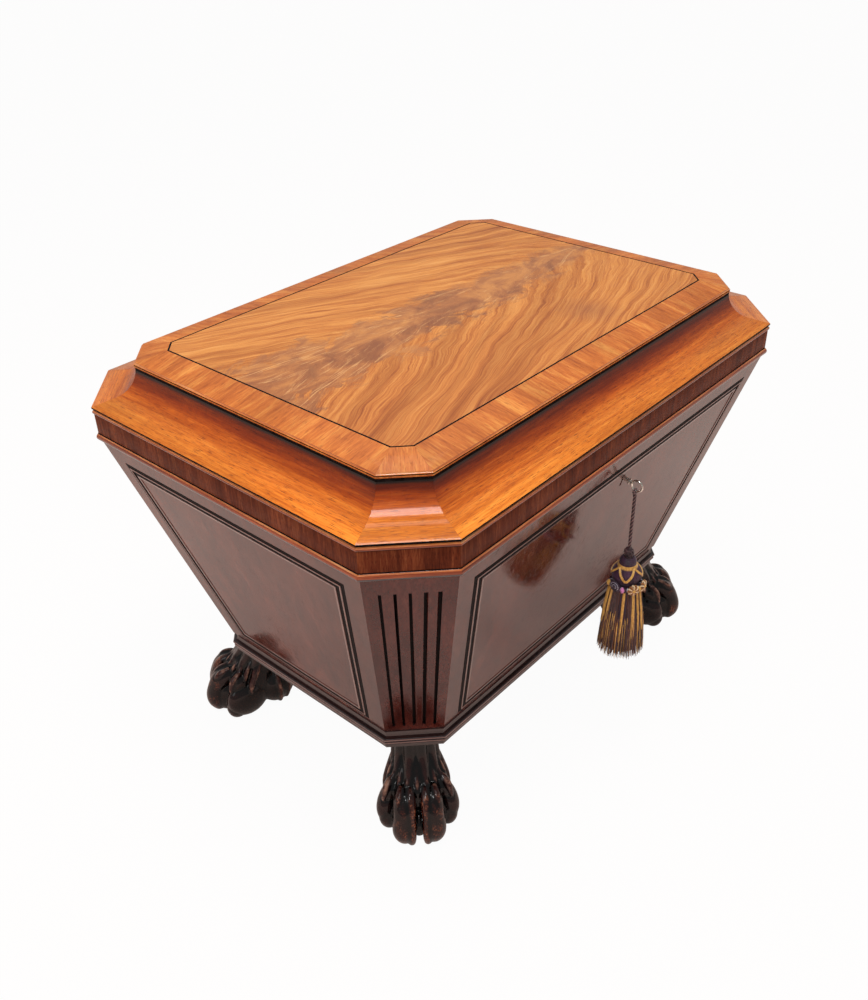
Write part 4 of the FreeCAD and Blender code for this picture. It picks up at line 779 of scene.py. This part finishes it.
def hugging(turn, height, proud):
    """A point at that turn and height on the leg, that far proud of its surface."""
    angle = radians(turn)
    centre, reach = 0, COLUMN[0][1]
    for low, high in zip(COLUMN[1:], COLUMN):
        (low_x, _, low_z), (high_x, _, high_z) = low[0], high[0]
        if low_z <= height <= high_z:
            share = (high_z - height) / (high_z - low_z)
            centre = high_x + (low_x - high_x) * share
            rake = (low_x - high_x) / (high_z - low_z) * cos(angle)
            reach = (high[1] + (low[1] - high[1]) * share) * hypot(1, rake)
            break
    reach += proud
    return (centre + reach * cos(angle), reach * sin(angle), height)


def lock(turn, spread, head, foot, stations):
    """A lock of hair down the leg; a station is its share of the way, its radius and how proud it lies."""
    return [(hugging(turn * (1 + spread * share), head + (foot - head) * share, lift), radius)
            for share, radius, lift in stations]


def heel_cut(turn):
    """A ridge that runs down over the heel."""
    run = []
    for fall in (1.15, 0.85, 0.5, 0.1, -0.35, -0.75):
        out = cos(fall)
        place = (-0.015 - 0.0262 * out * cos(turn), 0.0282 * out * sin(turn),
                 0.032 + 0.0322 * sin(fall))
        run.append((place, 0.0026 + 0.0016 * out))
    return run


# the leg, from its head down into the paw: places and radii, as in the strokes below
COLUMN = [((-0.0085, 0, 0.1265), 0.0264), ((-0.0075, 0, 0.112), 0.0258), ((-0.004, 0, 0.098), 0.0258),
          ((0.002, 0, 0.085), 0.0274), ((0.009, 0, 0.072), 0.0316), ((0.014, 0, 0.056), 0.034),
          ((0.015, 0, 0.036), 0.0335), ((0.014, 0, 0.012), 0.028)]
# a middle toe: one thick curled finger, with a sharp ridge along the gap and a brow outside it
TOE = [(0.029, 0.017, 0.068, 0.0085), (0.043, 0.0172, 0.064, 0.0122), (0.056, 0.0178, 0.055, 0.0134),
       (0.062, 0.0185, 0.044, 0.0122), (0.0645, 0.0188, 0.029, 0.015), (0.064, 0.0184, 0.016, 0.014),
       (0.06, 0.017, 0.006, 0.0095)]
RIDGE = [(0.036, 0.0085, 0.0745, 0.0042), (0.049, 0.0095, 0.0695, 0.007), (0.061, 0.01, 0.059, 0.0074),
         (0.067, 0.0102, 0.045, 0.0062), (0.0715, 0.0104, 0.028, 0.0068), (0.072, 0.0102, 0.014, 0.0064),
         (0.069, 0.0098, 0.005, 0.0046)]
BROW = [(0.04, 0.02, 0.074, 0.0034), (0.05, 0.0222, 0.0705, 0.0056), (0.06, 0.0232, 0.061, 0.005),
        (0.065, 0.024, 0.051, 0.0018)]
# a side toe: one long rounded lobe, lower and further back, with a cheek and a sweep down from the leg
CHEEK = [(0.0235, 0.029, 0.075, 0.0034), (0.031, 0.0355, 0.0705, 0.0056), (0.0375, 0.04, 0.06, 0.005),
         (0.0395, 0.043, 0.05, 0.0018)]
SWEEP = [(-0.009, 0.0215, 0.104, 0.003), (-0.0055, 0.024, 0.093, 0.0042),
         (-0.001, 0.0288, 0.081, 0.0048), (0.006, 0.0345, 0.067, 0.005),
         (0.011, 0.039, 0.055, 0.0044), (0.012, 0.041, 0.045, 0.002)]
BROAD_LOCK = [(0, 0.0072, -0.0042), (0.35, 0.0074, -0.004), (0.7, 0.0072, -0.0032), (0.9, 0.006, -0.0016),
              (1, 0.0034, -0.001)]
FINE_LOCK = [(0, 0.0024, -0.001), (0.3, 0.0036, 0.0014), (0.65, 0.0038, 0.003), (0.9, 0.0028, 0.003),
             (1, 0.0014, 0.0018)]
CHIP = 0.00115  # the finest cut of the carving
SOLE = 0.0003  # the level that the soles are cut at


def paw():
    """One paw, its toes towards +X, standing at the foot's own middle."""
    parts = [threads("paw", [COLUMN], sides=12, smooth=4),
             lump((-0.015, 0, 0.032), (0.0265, 0.0285, 0.0325), 4),
             lump((0.046, 0, 0.017), (0.0185, 0.013, 0.019)),
             threads("heel_cuts", [heel_cut(0.55 * k) for k in range(-2, 3)], sides=4, smooth=5)]
    for side in (-1, 1):
        toe, *ridges = ([((x, side * y, z), radius) for x, y, z, radius in stroke]
                        for stroke in (TOE, RIDGE, BROW, CHEEK, SWEEP))
        parts += [threads("toe", [toe], sides=8, smooth=5),
                  threads("ridge", ridges, sides=4, smooth=5),
                  lump((0.045, side * 0.018, 0.026), (0.026, 0.0145, 0.0265), -3, side * 7),
                  lump((0.019, side * 0.0285, 0.03), (0.032, 0.0176, 0.0302), -4, side * 36),
                  lump((0.034, side * 0.0345, 0.02), (0.0165, 0.014, 0.0205), -6, side * 40),
                  lump((0.0255, side * 0.029, 0.059), (0.019, 0.0118, 0.015), 34, side * 42)]
    # broad locks of hair down the leg, and finer ones that part round the knuckles
    locks = [lock(turn, -0.05, 0.126, 0.08 if abs(turn) > 60 else 0.076, BROAD_LOCK)
             for turn in range(-126, 127, 36)]
    locks += [lock(turn, 0.1, 0.09, 0.061, FINE_LOCK) for turn in range(-90, 91, 18)]
    parts.append(threads("locks", locks, sides=4, smooth=6))
    foot = joined(parts, "paw")
    only(foot)
    bpy.ops.object.transform_apply()
    modified(foot, "REMESH", mode="VOXEL", voxel_size=CHIP)
    everything(foot)
    bpy.ops.mesh.vertices_smooth(factor=0.5, repeat=3)
    for level, way in ((PLINTH_FOOT - MITRE_GAP, 1), (SOLE, -1)):
        bpy.ops.mesh.select_all(action="SELECT")
        bpy.ops.mesh.bisect(plane_co=(0, 0, level), plane_no=(0, 0, way), use_fill=True, clear_outer=True)
    put_down()
    mark_wear_and_shade(foot)
    coated(foot, ["carved_mahogany"])
    return foot


def clamped(value, low=0):
    return min(1, max(low, value))


def mark_wear_and_shade(piece):
    """Marks how proud each point stands, from 0 in a hollow to 1 on a ridge, for the wear and the painted
    shade and glints, and how far to the front.
    """
    mesh = piece.data
    count = len(mesh.vertices)
    total, number = [0] * count, [0] * count
    normals = [v.normal.copy() for v in mesh.vertices]
    pairs = [tuple(e.vertices) for e in mesh.edges]
    for a, b in pairs:
        gap = mesh.vertices[b].co - mesh.vertices[a].co
        reach = max(gap.length, 1e-6)
        total[a] -= normals[a].dot(gap) / reach
        total[b] += normals[b].dot(gap) / reach
        number[a] += 1
        number[b] += 1
    value = [t / max(n, 1) for t, n in zip(total, number)]
    for _ in range(7):
        spread = [v * 2 for v in value]
        for a, b in pairs:
            spread[a] += value[b]
            spread[b] += value[a]
        value = [s / (n + 2) for s, n in zip(spread, number)]
    marks = {"wear_and_shade": [clamped((0.116 - v.co.z) / 0.012) * clamped(0.3 + proud * 9)
                      for v, proud in zip(mesh.vertices, value)],
             "front": [clamped((v.co.x - 0.04) / 0.02, 0.1) for v in mesh.vertices]}
    for mark, values in marks.items():
        mesh.attributes.new(mark, "FLOAT", "POINT").data.foreach_set("value", values)


PAW_X, PAW_Y = 0.24839, 0.14889
pattern_paw = paw()
for corner, (sign_x, sign_y) in CORNERS.items():
    foot = copied(pattern_paw, "paw_" + corner)
    place = Matrix.Rotation(atan2(sign_y, sign_x), 4, "Z")
    place.translation = (sign_x * PAW_X, sign_y * PAW_Y, 0)
    fixed(foot, place)
    finished(foot, "carcase", "paw_foot_" + corner, 60)
bpy.data.objects.remove(pattern_paw)


# ---- tassel

def ringed(turn, reach, height):
    """A point round the tassel's middle."""
    angle = radians(turn)
    return Vector((reach * cos(angle), PLUMB + reach * sin(angle), height))


def outward_at(turn):
    """The way out from the tassel's middle at that turn, and the way round it."""
    out = ringed(turn, 1, 0) - Vector((0, PLUMB, 0))
    return out, Vector((-out.y, out.x, 0))


def full_turn(count):
    return [2 * pi * k / count for k in range(count + 1)]


def closed_ring(middle, across, up, radius, count):
    return [middle + radius * (cos(a) * across + sin(a) * up) for a in full_turn(count)]


def plies(line, offset, radius, pitch, start=0):
    """Two strands that wind round a line, for a laid rope."""
    runs = [[], []]
    gone = 0
    for k, point in enumerate(line):
        ahead = (line[min(k + 1, len(line) - 1)] - line[max(k - 1, 0)]).normalized()
        if k:
            gone += (point - line[k - 1]).length
        first = ahead.cross(Vector((0.3, 1, 0.1))).normalized()
        second = ahead.cross(first)
        for number, run in enumerate(runs):
            angle = radians(start) + 2 * pi * (gone / pitch + number / 2)
            run.append((point + offset * (cos(angle) * first + sin(angle) * second), radius))
    return runs


def braided(name, node, parts, body="tassel"):
    """A piece of many threads: a part is its runs, sides, smoothness and finish, or a lump and its finish."""
    pieces = [threads(name, made, *cut) if cut else made for made, *cut, _ in parts]
    wanted = [part[-1] for part in parts]
    for piece, coat in zip(pieces, wanted):
        coats = coated(piece, wanted)
        faces = piece.data.polygons
        faces.foreach_set("material_index", [coats.index(coat)] * len(faces))
    return finished(joined(pieces, name), body, node, 60)


LAY = 0.0115  # one turn of the rope's strands
cord = braided("cord", "tassel_cord", [
    (plies(cord_points, 0.00102, 0.00122, LAY), 3, 1, "silk_cord"),
    (plies(cord_points, 0.00155, 0.00042, LAY, 90), 2, 1, "fleck_silk")])

# the loop through the key's bow, on the CAD loop's own box
loop_low, loop_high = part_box("tassel_loop")
loop_size = loop_high - loop_low
wire = min(loop_size)
loop_reach = (loop_size.z - wire) / 2
loop_way = Vector((0, 1, 0)) if loop_size.x < loop_size.y else Vector((1, 0, 0))
loop_line = closed_ring((loop_low + loop_high) / 2, loop_way, UP, loop_reach, 40)
loop_lay = 2 * pi * loop_reach / 4
braided("loop", "tassel_loop", [
    (plies(loop_line, wire * 0.24, wire * 0.26, loop_lay), 3, 1, "silk_cord"),
    (plies(loop_line, wire * 0.4, wire * 0.07, loop_lay, 90), 1, 1, "fleck_silk")], "tassel_loop")

# the knot and its disc
KNOT = Vector((0, PLUMB, 0.3185))
DISC = 0.3066
knot_core = lump(KNOT, (0.0046, 0.0046, 0.0072))
disc_core = lump((0, PLUMB, DISC), (0.0088, 0.0088, 0.005))
knot_ropes = []
for k in range(4):
    tilt = Matrix.Rotation(radians(45 * k + 20), 3, "Z") @ Matrix.Rotation(radians(48), 3, "X")
    line = [KNOT + tilt @ Vector((0.005 * cos(a), 0.005 * sin(a), 0.0009 * sin(3 * a)))
            for a in full_turn(30)]
    knot_ropes += plies(line, 0.00075, 0.0009, 0.0085)
knot_flecks = [[(place + (place - KNOT).normalized() * 0.0006, 0.00028) for place, _ in run]
               for run in knot_ropes[::2]]
for level, reach in ((0.324, 0.0026), (0.3125, 0.0046)):
    line = closed_ring(Vector((0, PLUMB, level)), Vector((1, 0, 0)), Vector((0, 1, 0)), reach, 24)
    knot_ropes += plies(line, 0.0006, 0.0008, 0.006)
disc_wraps = [[(ringed(t, 0.0094 - 0.0005 * abs(step) ** 1.5, DISC + step * 0.0015), 0.0011)
               for t in range(0, 361, 12)] for step in range(-3, 4)]
braided("cap", "tassel_cap", [
    (knot_core, "silk_cord"), (knot_ropes, 2, 1, "silk_cord"), (knot_flecks, 1, 1, "fleck_silk"),
    (disc_wraps, 2, 1, "purple_silk"), (disc_core, "purple_silk")])

# the head: satin threads over a turned mould, a gold tie under the disc and a gold zigzag
HEAD = [(0.0092, 0.3046), (0.01, 0.301), (0.013, 0.2975), (0.0162, 0.2935), (0.0178, 0.289),
        (0.0177, 0.2855), (0.0164, 0.2815), (0.0144, 0.2785), (0.014, 0.27)]


def head_reach(height):
    for (r0, z0), (r1, z1) in zip(HEAD, HEAD[1:]):
        if z1 <= height <= z0:
            return r0 + (r1 - r0) * (z0 - height) / (z0 - z1)
    return HEAD[-1][0]


def leg(foot_turn, side, shift):
    """One strand of a V, from its mouth down to its foot."""
    run = []
    for step in range(9):
        height = 0.3005 - 0.015 * step / 8
        turn = foot_turn + side * (43 - 43 * step / 8) + shift
        run.append((ringed(turn, head_reach(height) + 0.0012, height), 0.00072))
    return run


satin = [[(ringed(t + 1.5 * k, r, z), 0.00085) for k, (r, z) in enumerate(HEAD)] for t in range(0, 360, 6)]
mould = [((0, PLUMB, z), r - 0.0003) for r, z in HEAD]
zigzag = [leg(90 * k - 152, side, shift) for k in range(4) for side in (-1, 1) for shift in (-3.2, 0, 3.2)]
tie = [[(ringed(t, 0.0104 + 0.0005 * j, 0.3022 - j * 0.0011), 0.0008) for t in range(0, 361, 12)]
       for j in range(4)]
braided("head", "tassel_head", [
    (satin, 1, 3, "silk_head"), ([mould], 8, 3, "silk_head"), (zigzag + tie, 1, 3, "gold_silk")])

# the rope collar, wound with silver, and a coil at its side
COLLAR, COLLAR_REACH = 0.2735, 0.0177
winding, silver = [], []
for k in range(60):
    radius = 0.00075 if k % 4 else 0.00055
    (winding if k % 4 else silver).append(
        [(ringed(6 * k + 0.6 * j, COLLAR_REACH + 0.0027 * cos(a), COLLAR + 0.0027 * sin(a)), radius)
         for j, a in enumerate(full_turn(10))])
out, side = outward_at(-188)
for number in range(5):
    middle = ringed(-188, 0.0205, 0.2775) + out * (0.0022 - 0.0004 * number)
    ring = closed_ring(middle, side, 0.95 * UP, 0.0013 + 0.0014 * number, 24)
    (silver if number % 2 else winding).append([(p, 0.00045 if number % 2 else 0.001) for p in ring])
braided("collar", "tassel_collar", [
    ([[(ringed(t, COLLAR_REACH, COLLAR), 0.0026) for t in range(0, 361, 5)]], 3, 1, "silk_cord"),
    (winding, 1, 2, "purple_silk"), (silver, 1, 2, "silver_thread")])

# rosettes of looped cream silk, with gold hearts, and small buds between them
petals, folds, golden, buds = [], [], [], []
for turn in (-125, -83):
    out, side = outward_at(turn)
    middle = ringed(turn, 0.0222, 0.2765)
    for k in range(12):
        angle = 2 * pi * k / 12
        ray, lean = (cos(a) * side + sin(a) * UP for a in (angle, angle + 0.26))
        (petals if k % 2 else folds).append(
            [(middle + way * reach + out * rise, radius) for way, reach, rise, radius in (
                (ray, 0.001, 0.0018, 0.0007), (ray, 0.0045, 0.0026, 0.001), (ray, 0.0072, 0.0004, 0.001),
                (lean, 0.0068, -0.0008, 0.0009), (lean, 0.004, -0.0002, 0.0008),
                (lean, 0.0012, 0.0006, 0.0007))])
    for rise, reach in ((0.0028, 0.0013), (0.0034, 0.0004)):
        golden.append([(p, 0.0009) for p in closed_ring(middle + out * rise, side, UP, reach, 10)])
for turn, kind in ((-160, buds), (-104, golden), (-221, golden), (60, buds), (10, golden)):
    middle, out = ringed(turn, 0.0208, 0.2755), outward_at(turn)[0]
    kind.append([(middle + UP * rise + out * lean, radius) for rise, lean, radius in (
        (0.004, 0, 0.0008), (0.0018, 0.001, 0.0027), (-0.0018, 0.001, 0.0027), (-0.004, 0, 0.0008))])
braided("rosettes", "tassel_rosettes", [
    (petals, 2, 4, "silk_rosette"), (folds, 2, 4, "amber_silk"), (golden, 3, 3, "gold_silk"),
    (buds, 3, 3, "pink_silk")])

# the skirt: clusters of gold and dark silk, with finer ends that spread at the foot
luck = random.Random(7)
START, END = 0.2695, 0.1716
strands = {"gold_silk": [], "amber_silk": [], "silk_skirt": [], "purple_silk": []}


def fall(turn, near, wide, thick, foot, coat, drift=0, start=0):
    """One strand of the skirt, from its top out to its foot."""
    run = []
    for part in (0, 0.12, 0.4, 0.7, 1):
        share = start + (1 - start) * part
        reach = near + (wide - near) * share ** 0.75 + luck.uniform(-0.0004, 0.0004)
        place = ringed(turn + drift * share ** 1.5 + luck.uniform(-0.9, 0.9), reach,
                       START - (START - foot) * share)
        run.append((place, thick * (1 if share < 0.75 else 0.35)))
    strands[coat].append(run)


GOLDEN = ["gold_silk", "gold_silk", "amber_silk", "silk_skirt"]
DARK = ["purple_silk", "silk_skirt", "silk_skirt", "amber_silk"]
for k in range(40):
    turn = 9 * k + luck.uniform(-1.2, 1.2)
    coat = luck.choice(GOLDEN if k % 2 else DARK)
    bold = coat == "gold_silk"
    drop = luck.uniform(0.018, 0.055) if bold and luck.random() < 0.75 else luck.uniform(0, 0.008)
    for off in range(-2, 3):
        fall(turn + off * 1.35, 0.0178 + (0.0008 if bold else 0) - 0.00022 * off ** 2,
             0.0284 - 0.0002 * abs(off) - drop * 0.05, 0.00085, END + drop + luck.uniform(0, 0.006), coat,
             luck.uniform(-2, 2))
for layer, (count, near, wide) in enumerate(((58, 0.0155, 0.0235), (70, 0.0168, 0.0268))):
    for k in range(count):
        turn = 360 * (k + 0.4 * layer) / count + luck.uniform(-2, 2)
        fall(turn, near, wide + luck.uniform(-0.001, 0.001), 0.0011, END + luck.uniform(0, 0.006),
             luck.choice(["silk_skirt", "purple_silk", "silk_skirt", "purple_silk", "amber_silk"]),
             luck.uniform(-5, 5))
for _ in range(460):
    fall(luck.uniform(0, 360), 0.019, luck.uniform(0.0262, 0.0296), 0.0004,
         END + luck.uniform(-0.0004, 0.009),
         luck.choice(["amber_silk", "silk_skirt", "silk_skirt", "purple_silk", "gold_silk"]),
         luck.uniform(-3, 3), luck.uniform(0.3, 0.6))
skirt_core = [((0, PLUMB, START), 0.016), ((0, PLUMB, 0.245), 0.0175), ((0, PLUMB, 0.205), 0.02),
              ((0, PLUMB, 0.178), 0.0215)]
braided("skirt", "tassel_skirt",
        [([skirt_core], 8, 3, "purple_silk")] + [(runs, 0, 2, coat) for coat, runs in strands.items()])


# ---- room and light

def mirrored(rays):
    """Picks out the rays that see the room in a polished face or through glass."""
    return maths("MAXIMUM", rays["Is Glossy Ray"], rays["Is Transmission Ray"])


bpy.ops.mesh.primitive_plane_add(size=60)
floor = bpy.context.object
floor.name = "floor"
paper = bpy.data.materials.new("paper")
paper.use_nodes = True
tree = paper.node_tree
rays = add("LightPath", {}, tree).outputs
seen = maths("MAXIMUM", times(rays["Is Camera Ray"], 0.96), times(mirrored(rays), 0.1))
diffuse = add("BsdfDiffuse", {"Color": (0.92, 0.7, 0.61)}, tree)
glow = add("Emission", {"Color": (1, 1, 1), "Strength": 1}, tree)
blend = add("MixShader", {0: seen, 1: diffuse.outputs[0], 2: glow.outputs[0]})
put(tree.nodes["Material Output"].inputs["Surface"], blend.outputs[0])
tree.nodes.remove(tree.nodes["Principled BSDF"])
floor.data.materials.append(paper)

scene.world = bpy.data.worlds.new("studio")
scene.world.use_nodes = True
tree = scene.world.node_tree
rays = add("LightPath", {}, tree).outputs
level = minus(plus(0.46, times(rays["Is Camera Ray"], 0.517)), times(mirrored(rays), 0.1))
set_on(tree.nodes["Background"], Color=(1, 1, 1), Strength=level)


def softbox(name, place, target, size, power):
    bpy.ops.object.light_add(type="AREA", location=place)
    lamp = bpy.context.object
    lamp.name = name
    lamp.rotation_euler = (Vector(target) - Vector(place)).to_track_quat("-Z", "Y").to_euler()
    lamp.data.shape = "SQUARE"
    lamp.data.size = size
    lamp.data.energy = power


softbox("overhead", (-0.35, -0.35, 2.5), (0, 0, 0.4), 0.9, 26)
softbox("side", (-2.2, 0.4, 1.4), (0, 0, 0.3), 1.2, 7)
softbox("front", (-1.4, -0.6, 2.2), (-0.2, -0.1, 0.2), 0.42, 9)
softbox("behind", (0.8, 0.8, 2.3), (0, 0, 0.4), 0.8, 5)
